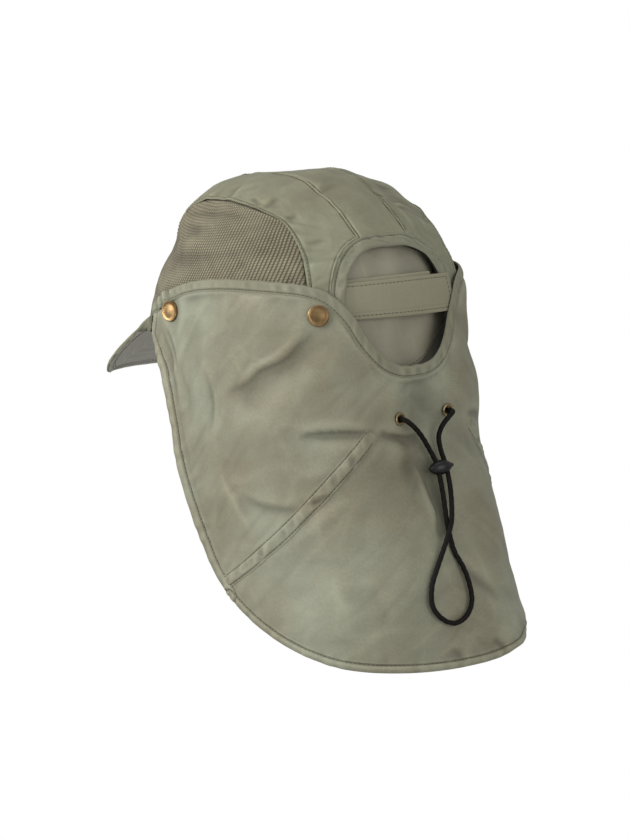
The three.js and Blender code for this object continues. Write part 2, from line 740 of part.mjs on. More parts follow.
add('crown_center_strip', centerStrip(), finish.crown);
for (const { name, side } of SIDES) {
  add(`crown_side_${name}`, sidePanel(side), finish.crown);
  add(`mesh_panel_${name}`, meshPanel(side), finish.mesh);
  add(`drawcord_channel_${name}`, drawcordTunnel(name), finish.cape);
}
add('arch_binding', archBinding(), finish.binding);
add('peak', peak(), finish.peak);
add('strap_outer', strapLayer(25.8, -24.6, STRAP_LOW, STRAP_HIGH, -2.95, 0.65), finish.strap);
add('strap_inner', strapLayer(25.8, -14, STRAP_LOW + 1.4, STRAP_HIGH + 1.4, -4.35, -0.95), finish.strap);
add('inner_back_panel', innerBackPanel(), finish.cape);
add('neck_cape', neckCape(), finish.cape);
add('cape_top_binding', capeBinding(), finish.binding);
for (const { name, turn, height } of SNAPS) {
  standOnCape(add(`snap_cap_${name}`, turned(SNAP_PROFILE, 16), finish.brass), turn, height, GAP + 0.15);
  standOnCape(add(`snap_stud_${name}`, turned(STUD_PROFILE, 12), finish.brass), turn, height, -CLOTH - 0.6 - STUD_THICKNESS);
}
for (const { name, turn, height } of EYELETS) {
  standOnCape(add(name, turned(EYELET_PROFILE, 16), finish.eyelet), turn, height, 0);
}
add('drawcord', drawcord(), finish.cord);
add('cord_lock', cordLock(), finish.lock);

export default cap;
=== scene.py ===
# A sun cap with a neck cape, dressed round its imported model.
# Its measures are in millimetres unless a name says metres. Turns and lifts are in degrees.
import math
import bpy
import numpy as np
from mathutils import Matrix, Vector


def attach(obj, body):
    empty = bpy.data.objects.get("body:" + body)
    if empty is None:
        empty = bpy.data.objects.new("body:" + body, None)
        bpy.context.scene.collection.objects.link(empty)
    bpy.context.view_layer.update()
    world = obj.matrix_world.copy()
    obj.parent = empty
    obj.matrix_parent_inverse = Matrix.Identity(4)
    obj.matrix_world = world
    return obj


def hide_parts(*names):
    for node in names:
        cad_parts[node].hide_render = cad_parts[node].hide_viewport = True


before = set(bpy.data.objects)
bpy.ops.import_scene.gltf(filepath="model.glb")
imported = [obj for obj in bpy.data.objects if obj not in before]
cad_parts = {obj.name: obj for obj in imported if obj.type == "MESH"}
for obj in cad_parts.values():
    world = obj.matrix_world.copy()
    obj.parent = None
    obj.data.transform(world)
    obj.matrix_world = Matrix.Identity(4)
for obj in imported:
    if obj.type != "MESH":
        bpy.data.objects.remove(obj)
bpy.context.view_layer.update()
scene = bpy.context.scene


# View, floor and light
# The cap is seen from behind its left side, a little from above, through a long lens. A soft light
# stands near it on the left of the view, a wider and weaker one on the right and one above it.
VIEW_TURN = math.radians(145.5)
VIEW_LIFT = math.radians(11)
VIEW_DISTANCE_METRES = 1.6
VIEW_LENS = 105
VIEW_CENTRE_METRES = Vector((-0.00214, 0.00147, -0.066))

to_viewer = Vector((
    math.sin(VIEW_TURN) * math.cos(VIEW_LIFT),
    -math.cos(VIEW_TURN) * math.cos(VIEW_LIFT),
    math.sin(VIEW_LIFT),
))
camera = bpy.data.objects.new("camera", bpy.data.cameras.new("camera"))
camera.data.lens = VIEW_LENS
camera.data.sensor_width = 36
camera.location = VIEW_CENTRE_METRES + to_viewer * VIEW_DISTANCE_METRES
camera.rotation_euler = to_viewer.to_track_quat("Z", "Y").to_euler()
scene.collection.objects.link(camera)
scene.camera = camera
scene.view_settings.view_transform = "Standard"

to_right = Vector((math.cos(VIEW_TURN), math.sin(VIEW_TURN), 0))
level_view = Vector((to_viewer.x, to_viewer.y, 0)).normalized()
SOFT_LIGHTS = [
    # name, steps to the right, up and towards the viewer in metres, size in metres, watts
    ("key_light", -0.95, 0.42, 0.38, 0.5, 8.1),
    ("fill_light", 0.9, 0.4, 1.5, 1.3, 9.5),
    ("top_light", -0.3, 1.9, -0.1, 1.0, 6),
]
for name, right, up, near, size, watts in SOFT_LIGHTS:
    lamp = bpy.data.objects.new(name, bpy.data.lights.new(name, "AREA"))
    lamp.data.size = size
    lamp.data.energy = watts
    offset = to_right * right + Vector((0, 0, up)) + level_view * near
    lamp.location = VIEW_CENTRE_METRES + offset
    lamp.rotation_euler = offset.to_track_quat("Z", "Y").to_euler()
    scene.collection.objects.link(lamp)


def join(tree, node, wires):
    """Wires sockets into a node's inputs, which are named or counted."""
    for key, socket in wires.items():
        tree.links.new(socket, node.inputs[key])


def add_node(tree, kind, settings=None, values=None, wires=None):
    """A shader node with its settings, its plain input values and the sockets wired into it."""
    node = tree.nodes.new("ShaderNode" + kind)
    for key, value in (settings or {}).items():
        setattr(node, key, value)
    for key, value in (values or {}).items():
        node.inputs[key].default_value = value
    join(tree, node, wires or {})
    return node


WHITE = (1, 1, 1, 1)
room = bpy.data.worlds.new("pale_room")
room.use_nodes = True
room.node_tree.nodes.clear()
ray = add_node(room.node_tree, "LightPath")
soft = add_node(room.node_tree, "Background", values={"Color": WHITE, "Strength": 0.36})
white = add_node(room.node_tree, "Background", values={"Color": WHITE, "Strength": 1.0})
seen = add_node(room.node_tree, "MixShader", wires={
    0: ray.outputs["Is Camera Ray"], 1: soft.outputs[0], 2: white.outputs[0]})
add_node(room.node_tree, "OutputWorld", wires={"Surface": seen.outputs[0]})
scene.world = room


def paint(red, green, blue):
    """A colour named by its 0 to 255 screen values."""
    return tuple(((c / 255 + 0.055) / 1.055) ** 2.4 for c in (red, green, blue)) + (1.0,)


def new_material(name, **shader_values):
    """A material with an empty Principled shader whose plain values are given."""
    material = bpy.data.materials.new(name)
    material.use_nodes = True
    tree = material.node_tree
    tree.nodes.clear()
    shader = add_node(tree, "BsdfPrincipled", values={
        key.replace("_", " "): value for key, value in shader_values.items()})
    add_node(tree, "OutputMaterial", wires={"Surface": shader.outputs[0]})
    return material, tree, shader


def noise(tree, scale, detail, where=None, roughness=0.5, distortion=0.0):
    """Soft random heights from 0 to 1, read at a place or, without one, over the piece's box."""
    values = {"Scale": scale, "Detail": detail, "Roughness": roughness, "Distortion": distortion}
    wires = {} if where is None else {"Vector": where}
    return add_node(tree, "TexNoise", values=values, wires=wires).outputs["Fac"]


def two_tones(tree, share, dark, light, low=0.0, high=1.0):
    """A colour that runs from dark to light as a share goes from low to high."""
    ramp = add_node(tree, "ValToRGB", wires={"Fac": share})
    for stop, place, color in zip(ramp.color_ramp.elements, (low, high), (dark, light)):
        stop.position = place
        stop.color = color
    return ramp.outputs["Color"]


FLOOR_HEIGHT_METRES = -0.46
FLOOR_REACH_METRES = 9
corners = [(x * FLOOR_REACH_METRES, y * FLOOR_REACH_METRES, FLOOR_HEIGHT_METRES)
           for x, y in ((-1, -1), (1, -1), (1, 1), (-1, 1))]
floor_mesh = bpy.data.meshes.new("floor")
floor_mesh.from_pydata(corners, [], [(0, 1, 2, 3)])
floor = bpy.data.objects.new("floor", floor_mesh)
scene.collection.objects.link(floor)
floor_finish, floor_tree, floor_shader = new_material("pale_floor", Roughness=0.9)
floor_tone = two_tones(floor_tree, noise(floor_tree, 3.0, 2.0), (0.46, 0.46, 0.46, 1), (0.5, 0.5, 0.5, 1))
join(floor_tree, floor_shader, {"Base Color": floor_tone})
floor_ray = add_node(floor_tree, "LightPath")
floor_white = add_node(floor_tree, "Emission", values={"Color": WHITE, "Strength": 1.0})
floor_seen = add_node(floor_tree, "MixShader", wires={
    0: floor_ray.outputs["Is Camera Ray"], 1: floor_shader.outputs[0], 2: floor_white.outputs[0]})
join(floor_tree, floor_tree.nodes["Material Output"], {"Surface": floor_seen.outputs[0]})
floor_mesh.materials.append(floor_finish)


# Drawcord
# A thin round cord of black-brown braid. It leaves the left eyelet, runs through the lock, hangs
# in one loop, comes back through the lock's second bore and goes into the right eyelet.
# The points that the cord's middle runs through.
CORD_ROUTE = [
    (12.9, 108.5, -46.3), (12.1, 111.9, -46), (11.3, 115.3, -45.8), (9.7, 118.5, -47),
    (6, 119.8, -50.3), (0.8, 118.6, -55), (-4.4, 117, -60.6), (-8.5, 117.4, -67.2),
    (-10.8, 120.4, -74.2), (-10.6, 124.2, -81.2), (-9.9, 128.2, -90), (-8.6, 132.8, -99.6),
    (-6.9, 137.4, -109), (-5.9, 141.8, -116.4), (-5.6, 147, -125), (-9, 151.6, -134.6),
    (-10.7, 156, -145.3), (-9.2, 159.9, -154.2), (-2.8, 163, -161.3), (6.5, 164, -164.2),
    (14.7, 162.4, -160.9), (20, 159.3, -153.1), (18, 155.5, -141.8), (11.9, 152.3, -132.2),
    (4, 148.5, -121.6), (-2.1, 145.1, -113.8), (-7.5, 141, -107.6), (-11.9, 135.4, -99.6),
    (-15.2, 129.6, -89.8), (-16.4, 125, -80.6), (-16.6, 121.2, -73.6), (-15.9, 118.2, -66.6),
    (-15.2, 117.4, -59), (-17, 118.6, -52.2), (-21.2, 119.4, -47.2), (-25.6, 117.6, -45),
    (-27.7, 113.8, -44.9), (-27.9, 108.4, -45.3), (-28, 104.9, -45.5),
]
CORD_RADIUS = 1.6
CORD_STRANDS = 6
CORD_BRAID_DEPTH = 0.11
CORD_BRAID_PITCH = 5.2
CORD_RINGS = 900
CORD_SIDES = 24


def bend(start, end, start_pace, end_pace, t):
    """A cubic from start to end, as t goes from 0 to 1, with its pace at both."""
    return (start + start_pace * t + (-3 * start + 3 * end - 2 * start_pace - end_pace) * t ** 2
            + (2 * start - 2 * end + start_pace + end_pace) * t ** 3)


def smooth_curve(table, samples=400):
    """Points at even steps along the centripetal curve through a table's rows."""
    rows = np.asarray(table, float)
    rows = np.vstack([2 * rows[0] - rows[1], rows, 2 * rows[-1] - rows[-2]])
    curve = []
    for p0, p1, p2, p3 in zip(rows, rows[1:], rows[2:], rows[3:]):
        d0, d1, d2 = (max(np.linalg.norm(b - a), 1e-8) ** 0.5 for a, b in ((p0, p1), (p1, p2), (p2, p3)))
        m1 = ((p1 - p0) / d0 - (p2 - p0) / (d0 + d1) + (p2 - p1) / d1) * d1
        m2 = ((p2 - p1) / d1 - (p3 - p1) / (d1 + d2) + (p3 - p2) / d2) * d1
        curve.append(bend(p1, p2, m1, m2, np.linspace(0, 1, 60, endpoint=False)[:, None]))
    curve = np.vstack(curve + [rows[-2:-1]])
    return read_along(curve, np.linspace(0, 1, samples + 1))


def run_of(line):
    """The length from a line's start to each of its points."""
    return np.concatenate([[0.0], np.cumsum(np.linalg.norm(np.diff(line, axis=0), axis=1))])


def read_rows(at, places, rows):
    """Rows that belong to places, read at other places between them."""
    return np.stack([np.interp(at, places, rows[:, k]) for k in range(rows.shape[1])], -1)


def read_along(line, shares):
    """Points at shares, from 0 to 1, of a line's length."""
    run = run_of(line)
    return read_rows(np.asarray(shares) * run[-1], run, line)


def unit(vectors):
    """The same directions with a length of 1."""
    return vectors / np.maximum(np.linalg.norm(vectors, axis=-1, keepdims=True), 1e-9)


def new_piece(name, points, faces, cloth=None, sharp=40, hollow=None):
    """An object from points in millimetres, smooth but for edges sharper than an angle.
    cloth holds each point's place on the flat cloth, which the weave reads, and hollow each point's
    painted shade: how far it lies in a crease, and on an inner face painted shade as well."""
    mesh = bpy.data.meshes.new(name)
    mesh.from_pydata((np.asarray(points) * 0.001).tolist(), [], [list(face) for face in faces])
    mesh.shade_smooth()
    mesh.set_sharp_from_angle(angle=math.radians(sharp))
    if cloth is not None:
        flat = mesh.attributes.new("cloth", "FLOAT_VECTOR", "POINT")
        flat.data.foreach_set("vector", np.asarray(cloth, dtype=np.float32).ravel())
    if hollow is not None:
        # This point layer holds the painted shade.
        wear_and_painted_shade = mesh.attributes.new("hollow", "FLOAT", "POINT")
        wear_and_painted_shade.data.foreach_set("value", np.asarray(hollow, dtype=np.float32).ravel())
    piece = bpy.data.objects.new(name, mesh)
    scene.collection.objects.link(piece)
    return piece


def fit_piece(piece, finish, slot, *nodes):
    """Gives a piece its finish and its body, and hides the plain solids it stands for. slot is not used."""
    piece.data.materials.append(finish)
    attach(piece, "root")
    if nodes:
        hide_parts(*nodes)
    return piece


cord_line = smooth_curve(CORD_ROUTE, CORD_RINGS)
cord_way = unit(np.gradient(cord_line, axis=0))
cord_side = np.zeros_like(cord_line)
cord_side[0] = np.cross(cord_way[0], (0, 0, 1))
for step in range(1, len(cord_line)):
    carried = cord_side[step - 1]
    cord_side[step] = carried - cord_way[step] * carried.dot(cord_way[step])
cord_side = unit(cord_side)
cord_above = np.cross(cord_way, cord_side)

around = np.linspace(0, 2 * np.pi, CORD_SIDES, endpoint=False)[None, :]
along = run_of(cord_line)[:, None] * 2 * np.pi / CORD_BRAID_PITCH
braid = np.maximum(np.sin(CORD_STRANDS / 2 * around + along), np.sin(CORD_STRANDS / 2 * around - along))
thick = CORD_RADIUS - CORD_BRAID_DEPTH * (1 - braid)
cord_skin = (cord_line[:, None] + cord_side[:, None] * (thick * np.cos(around))[..., None]
             + cord_above[:, None] * (thick * np.sin(around))[..., None])


def tube_faces(rings, sides):
    """The side faces of a tube and its two closed ends."""
    index = np.arange(rings * sides).reshape(rings, sides)
    after = np.roll(index, -1, axis=1)
    walls = np.stack([index[:-1], after[:-1], after[1:], index[1:]], -1).reshape(-1, 4).tolist()
    return walls + [index[0][::-1].tolist(), index[-1].tolist()]


cord_flat = np.stack(np.broadcast_arrays(
    around * CORD_RADIUS, run_of(cord_line)[:, None], 0), -1).reshape(-1, 3)
cord = new_piece("braided_drawcord", cord_skin.reshape(-1, 3),
                 tube_faces(*cord_skin.shape[:2]), cord_flat, sharp=80)


def flat_place(tree):
    """Each point's place on the flat cloth."""
    return add_node(tree, "Attribute", {"attribute_name": "cloth"}).outputs["Vector"]


def waves(tree, where, direction, scale, distortion=0.0, detail=2.0, detail_scale=1.0):
    """Even waves from 0 to 1 that run in a direction."""
    values = {"Scale": scale, "Distortion": distortion, "Detail": detail, "Detail Scale": detail_scale}
    return add_node(tree, "TexWave", {"bands_direction": direction}, values, {"Vector": where}).outputs["Fac"]


def bump(tree, height, strength, distance, beneath=None):
    """The shading of a fine relief, in metres, on its own or over a relief beneath it."""
    wires = {"Height": height} if beneath is None else {"Height": height, "Normal": beneath}
    node = add_node(tree, "Bump", values={"Strength": strength, "Distance": distance}, wires=wires)
    return node.outputs["Normal"]


cord_finish, tree, shader = new_material("black_brown_braid", Roughness=0.7, Specular_IOR_Level=0.2)
flat = flat_place(tree)
join(tree, shader, {
    "Base Color": two_tones(tree, noise(tree, 2.2, 4.0, flat), paint(7, 6, 5), paint(30, 26, 21)),
    "Normal": bump(tree, waves(tree, flat, "DIAGONAL", 0.5, 2.0, 1.0), 0.6, 0.0001)})
fit_piece(cord, cord_finish, "cord", "drawcord")


# Cord lock
# A glossy black moulded plastic bean with a small pointed tip. Two bores go through it, one for
# each run of the cord, and it grips the cord by its own spring.
LOCK_PLACE = (-13.6, 122.7, -77.4)
LOCK_LONG_WAY = (-0.984, 0.135, 0.116)
LOCK_BORE_WAY = (0.027, 0.476, -0.879)
LOCK_LENGTH = 18
LOCK_RADIUS = 4.6
LOCK_BORE = 2.15
LOCK_BORE_SPREAD = 2.9
LOCK_RINGS = 28
# Turned and cut pieces have a hard edge where two faces meet at more than this angle.
TURNED_SHARP = 35


def turned(name, profile, segments, place, way, beside=None):
    """A lathed piece: radius and height rows turned round a direction at a place."""
    way = Vector(way).normalized()
    if beside is None:
        rotation = Vector((0, 0, 1)).rotation_difference(way).to_matrix().to_4x4()
    else:
        beside = (Vector(beside) - way * Vector(beside).dot(way)).normalized()
        rotation = Matrix((beside, way.cross(beside), way)).transposed().to_4x4()
    stand = Matrix.Translation(Vector(place)) @ rotation
    points, rings = [], []
    for radius, height in profile:
        count = 1 if radius < 1e-6 else segments
        rings.append(list(range(len(points), len(points) + count)))
        for i in range(count):
            turn = 2 * math.pi * i / segments
            points.append(tuple(stand @ Vector((radius * math.cos(turn), radius * math.sin(turn), height))))
    faces = []
    for low, high in zip(rings, rings[1:]):
        for i in range(segments):
            j = (i + 1) % segments
            if len(low) == 1:
                faces.append((low[0], high[j], high[i]))
            elif len(high) == 1:
                faces.append((low[i], low[j], high[0]))
            else:
                faces.append((low[i], low[j], high[j], high[i]))
    return new_piece(name, points, faces, sharp=TURNED_SHARP)


def cut_away(piece, tools):
    """Takes the tools' shapes out of a piece."""
    for tool in tools:
        cut = piece.modifiers.new("cut", "BOOLEAN")
        cut.operation = "DIFFERENCE"
        cut.solver = "EXACT"
        cut.object = tool
    shaped = bpy.data.meshes.new_from_object(piece.evaluated_get(bpy.context.evaluated_depsgraph_get()))
    piece.modifiers.clear()
    piece.data = shaped
    for tool in tools:
        bpy.data.objects.remove(tool)
    shaped.set_sharp_from_angle(angle=math.radians(TURNED_SHARP))


# The bean is 2 mm shorter than the whole lock, whose tip stands out of its end.
LOCK_BODY = LOCK_LENGTH - 2
LOCK_BEHIND = 0.55
bean = [(0, -LOCK_BEHIND * LOCK_BODY)]
for i in range(1, LOCK_RINGS):
    share = i / (LOCK_RINGS + 1)
    bean.append((math.sin(math.pi * share) ** 0.55 * LOCK_RADIUS, (share - LOCK_BEHIND) * LOCK_BODY))
tip = (1 - LOCK_BEHIND) * LOCK_BODY
bean += [(1.5, tip - 0.25), (1.2, tip), (1.05, LOCK_LENGTH / 2 - 1.1), (0.7, LOCK_LENGTH / 2 - 0.85),
         (0, LOCK_LENGTH / 2 - 0.8)]
lock = turned("cord_lock_bean", bean, 48, LOCK_PLACE, LOCK_LONG_WAY, LOCK_BORE_WAY)
long_way = Vector(LOCK_LONG_WAY).normalized()
bore_way = Vector(LOCK_BORE_WAY).normalized()
bore_way = bore_way - long_way * bore_way.dot(long_way)


def rod(radius, reach):
    """The radius and height rows of a plain rod that reaches as far both ways."""
    return [(0, -reach), (radius, -reach), (radius, reach), (0, reach)]


bores = [turned("bore", rod(LOCK_BORE, 7), 32, Vector(LOCK_PLACE) + long_way * spread, bore_way)
         for spread in (-LOCK_BORE_SPREAD, LOCK_BORE_SPREAD)]
cut_away(lock, bores)


def between(tree, share, low, high, start=0.0, end=1.0, easing="LINEAR"):
    """A value that runs from low to high as a share goes from start to end."""
    values = {"From Min": start, "From Max": end, "To Min": low, "To Max": high}
    node = add_node(tree, "MapRange", {"interpolation_type": easing}, values, {"Value": share})
    return node.outputs["Result"]


lock_finish, tree, shader = new_material("black_moulded_plastic")
scuff = noise(tree, 900.0, 5.0)
join(tree, shader, {
    "Base Color": two_tones(tree, scuff, paint(9, 9, 10), paint(22, 21, 22)),
    "Roughness": between(tree, scuff, 0.32, 0.5)})
fit_piece(lock, lock_finish, "lock_plastic", "cord_lock")


# Crown cloth
# Three panels of light olive woven cloth: a strip from the peak over the top to the back opening,
# and a side panel round each vent. Their edges are turned in, felled and stitched.
HALF_WIDTH = 91
BACK_REACH = 106
FRONT_REACH = 108
CROWN_HEIGHT = 97
TIP_FORWARD = math.radians(6)
TOP_LEAN = 15
LEAN_FROM_HEIGHT = 38
CLOTH = 1.2
GAP = 0.35
GAP_TURN = 0.3
ARCH_TURN = 22.5
ARCH_LIFT = 27.5
ARCH_HEM = 4.2
ARCH_SQUARENESS = 3
STRIP_LEFT = 18.5
STRIP_RIGHT = 17
STRIP_DRIFT = -4
PANEL_GROW = ARCH_HEM + GAP_TURN
# Creases and cloth patterns of the crown are laid out on a ball of this radius.
CROWN_BALL = 97

# Soft dents and swellings: turn, lift, spread in degrees, depth inwards.
DENTS = [
    (143, 31, 9, 4), (128, 31, 9, 4.5), (112, 31, 9, 4), (131, 2, 10, -3.5), (125, 60, 14, -2),
    (-55, 62, 20, -3.5), (-55, 42, 14, -1.5), (-128, 33, 9, 4), (-131, 2, 10, -3.5),
]
# Creases of the crown: width, depth inwards, then the turns and lifts that they run through.
CROWN_CREASES = [
    (3.0, 0.9, [(93, 44), (86, 47), (67, 47), (50, 48)]),
    (4.0, 0.8, [(117, 37), (92, 38), (71, 40)]),
    (2.6, 0.5, [(85, 56), (86, 66)]),
    (2.6, 0.5, [(62, 53), (59, 55)]),
    (2.4, 0.6, [(54, 49), (45, 55)]),
    (2.4, 0.5, [(41, 42), (35, 44)]),
    (2.4, 0.5, [(34, 31), (24, 31)]),
    (2.0, 0.8, [(-22, 54), (-23, 49)]),
    (3.6, -0.7, [(-26, 46), (-25, 43)]),
    (3.6, -0.6, [(-34, 39), (-29, 31)]),
    (4.5, 0.7, [(19, 64), (19, 56), (9, 58), (-3, 58)]),
    (3.0, 0.5, [(23, 23), (13, 29)]),
    (3.4, 0.6, [(-72, 60), (-60, 68), (-40, 70)]),
    (3.0, 0.5, [(-90, 64), (-104, 70)]),
    (3.2, 0.5, [(150, 44), (140, 56), (128, 64)]),
    (3.0, 0.5, [(-46, 52), (-36, 58)]),
]


def bearings(turns, lifts):
    """Directions from turns, counted from the back towards the left, and lifts."""
    turns, lifts = np.radians(turns), np.radians(lifts)
    return np.stack(np.broadcast_arrays(
        np.sin(turns) * np.cos(lifts), np.cos(turns) * np.cos(lifts), np.sin(lifts)), -1)


def tip_forward(points):
    """Points turned with the whole cap, which is tipped over its forehead."""
    c, s = math.cos(TIP_FORWARD), math.sin(TIP_FORWARD)
    x, y, z = np.moveaxis(points, -1, 0)
    return np.stack([x, y * c - z * s, y * s + z * c], -1)


def frontness(x, y):
    """0 at the back, 1 at the front."""
    return (1 - y / np.maximum(np.hypot(x, y), 1e-9)) / 2


def swell(value, middle, width):
    """A soft hump, 1 at a middle value and fading over a width."""
    return np.exp(-((value - middle) / width) ** 2)


def angle_from(directions, turn, lift):
    """The angle between directions and one bearing, in radians."""
    return np.arccos(np.clip(directions @ bearings(turn, lift), -1, 1))


def dents_at(directions):
    """How far the crown is pressed in along directions."""
    total = 0
    for turn, lift, spread, depth in DENTS:
        total = total + depth * swell(angle_from(directions, turn, lift), 0, math.radians(spread))
    return total


def squareness(front):
    """The powers of the crown's round outline and of its rise. Both are 2 on a plain ellipse."""
    return 2.05 + 0.35 * front, 2.12 + 0.3 * front


def crown_face(directions):
    """Points on the crown's outer face before it is tipped: a squarish dome with dents."""
    d = unit(directions)
    front = frontness(d[..., 0], d[..., 1])
    ahead = BACK_REACH + (FRONT_REACH - BACK_REACH) * front
    square, full = squareness(front)
    plan = (np.abs(d[..., 0] / HALF_WIDTH) ** square + np.abs(d[..., 1] / ahead) ** square) ** (1 / square)
    reach = (plan ** full + np.abs(d[..., 2] / CROWN_HEIGHT) ** full) ** (-1 / full)
    points = d * (reach - dents_at(d))[..., None]
    above = (points[..., 2] - LEAN_FROM_HEIGHT) / (CROWN_HEIGHT - LEAN_FROM_HEIGHT)
    points[..., 1] -= TOP_LEAN * np.maximum(0, above) ** 1.5
    return points


def on_crown(directions, out=0.0):
    """Points a distance outside the crown's outer face along directions."""
    d = unit(directions)
    aside = np.stack([d[..., 1], -d[..., 0], np.zeros(d.shape[:-1])], -1)
    aside = unit(np.where(np.linalg.norm(aside, axis=-1, keepdims=True) < 0.05, np.array([1.0, 0, 0]), aside))
    upward = unit(np.cross(aside, d))
    here = crown_face(d)
    normal = unit(np.cross(crown_face(d + aside * 0.01) - here, crown_face(d + upward * 0.01) - here))
    normal *= np.sign(np.sum(normal * d, -1, keepdims=True))
    return tip_forward(here + normal * np.asarray(out)[..., None])


def smoothstep(value, low, high):
    """0 below low, 1 above high and smooth between them."""
    share = np.clip((value - low) / (high - low), 0, 1)
    return share * share * (3 - 2 * share)


def mottle(points, size, seed):
    """Smooth random heights from -1 to 1, in lumps about a size across."""
    lattice = np.random.default_rng(seed).uniform(-1, 1, (24, 24, 24))
    spot = np.asarray(points) / size + 120
    base = np.floor(spot).astype(int)
    part = spot - base
    part = part ** 3 * (part * (part * 6 - 15) + 10)
    total = np.zeros(spot.shape[:-1])
    for corner in np.ndindex(2, 2, 2):
        index = (base + np.array(corner)) % 24
        weight = np.prod(np.where(np.array(corner) == 1, part, 1 - part), axis=-1)
        total += weight * lattice[index[..., 0], index[..., 1], index[..., 2]]
    return total


def crumple(points, size, seed):
    """Heights from 0 to -1 with narrow creases between lumps about a size across."""
    wander = np.stack([mottle(points, size * 1.7, seed + k) for k in (1, 2, 3)], -1)
    return -np.abs(mottle(points + wander * size * 0.5, size, seed)) ** 0.8


def creases_at(spots, creases, locate):
    """The height, inwards below 0, that a table of creases gives at spots. Each crease falls
    steeply on its upper side, rises gently on its lower one and fades towards its ends."""
    total = np.zeros(spots.shape[:-1])
    still = np.concatenate([spots, np.zeros(spots.shape[:-1] + (3 - spots.shape[-1],))], -1)
    spots = spots + np.stack([mottle(still, 13, 3 + k) for k in range(spots.shape[-1])], -1) * 1.3
    for width, depth, path in creases:
        line = locate(path)
        best = np.full(spots.shape[:-1], 1e9)
        run = run_of(line)
        share = np.zeros(spots.shape[:-1])
        gentle = np.full(spots.shape[:-1], 0.5)
        chord = line[-1] - line[0]
        flat = len(chord) == 2
        facing = np.array([-chord[1], chord[0]]) if flat else np.cross(line[0], chord)
        flip = 1 if facing[-1] < 0 else -1
        for k in range(len(line) - 1):
            step = line[k + 1] - line[k]
            t = np.clip((spots - line[k]) @ step / (step @ step), 0, 1)
            offset = spots - line[k] - t[..., None] * step
            lower = flip * unit(np.array([-step[1], step[0]]) if flat else np.cross(line[k], step))
            away = np.linalg.norm(offset, axis=-1)
            nearer = away < best
            best = np.where(nearer, away, best)
            gentle = np.where(nearer, 0.5 + 0.5 * (offset @ lower) / np.maximum(away, 1e-6), gentle)
            share = np.where(nearer, (run[k] + t * (run[k + 1] - run[k])) / run[-1], share)
        taper = np.sin(np.pi * np.clip(share, 0, 1)) ** 1.2
        spread = best / (width * (0.75 + 1.35 * gentle))
        total -= depth * taper * np.exp(-spread ** 1.5)
    return total


def puckers(run, away, pitch, seed):
    """Short random ridges square to a seam, at a run along it and a distance away from it."""
    return mottle(np.stack(np.broadcast_arrays(run, away * pitch / 16, 0.0), -1), pitch, seed)


def crown_path(path, samples):
    """The curve that a crease's turns and lifts give on the crown's ball."""
    return smooth_curve(bearings(*zip(*path)) * CROWN_BALL, samples)


def crown_relief(directions):
    """How far the crown's cloth stands out from its even face."""
    d = unit(directions)
    spots = d * CROWN_BALL
    relief = 2.2 * creases_at(spots, CROWN_CREASES, lambda path: crown_path(path, 12))
    relief += 0.8 * mottle(spots, 34, 11) + 0.6 * mottle(spots, 15, 12) + 0.6 * crumple(spots, 21, 13)
    relief += 0.15 * crumple(spots, 10, 16)
    # The right of the crown is the loosest, and lumps of it stand on its outline.
    relief += 1.5 * swell(angle_from(d, -58, 50), 0, 0.5) * mottle(spots, 15, 15)
    return relief + 0.09 * mottle(spots, 5, 14)


def grid_normals(points, inside):
    """The directions square to a grid of points that face away from a point inside."""
    normals = unit(np.cross(np.gradient(points, axis=0), np.gradient(points, axis=1)))
    return normals * np.sign(np.mean(np.sum(normals * (points - np.asarray(inside)), -1)))


def grid_runs(points):
    """Each grid point's length along its row and along its column."""
    across = np.zeros(points.shape[:2])
    across[1:] = np.cumsum(np.linalg.norm(np.diff(points, axis=0), axis=-1), axis=0)
    upward = np.zeros(points.shape[:2])
    upward[:, 1:] = np.cumsum(np.linalg.norm(np.diff(points, axis=1), axis=-1), axis=1)
    return across, upward


def from_edges(points, edges):
    """Each grid point's distance from the nearest of its named edges."""
    across, upward = grid_runs(points)
    reach = {"l": across, "r": across[-1:] - across, "b": upward, "t": upward[:, -1:] - upward}
    return np.min([reach[edge] for edge in edges], axis=0)


def smoothed(points, passes):
    """A grid of points with its small waves smoothed out and its edges kept."""
    for _ in range(passes):
        for axis in (0, 1):
            ahead, behind = np.roll(points, -1, axis), np.roll(points, 1, axis)
            calm = points * 0.5 + (ahead + behind) * 0.25
            edge = (slice(None), (0, -1)) if axis else ((0, -1), slice(None))
            calm[edge] = points[edge]
            points = calm
    return points


HOLLOW_REACH = 0.35


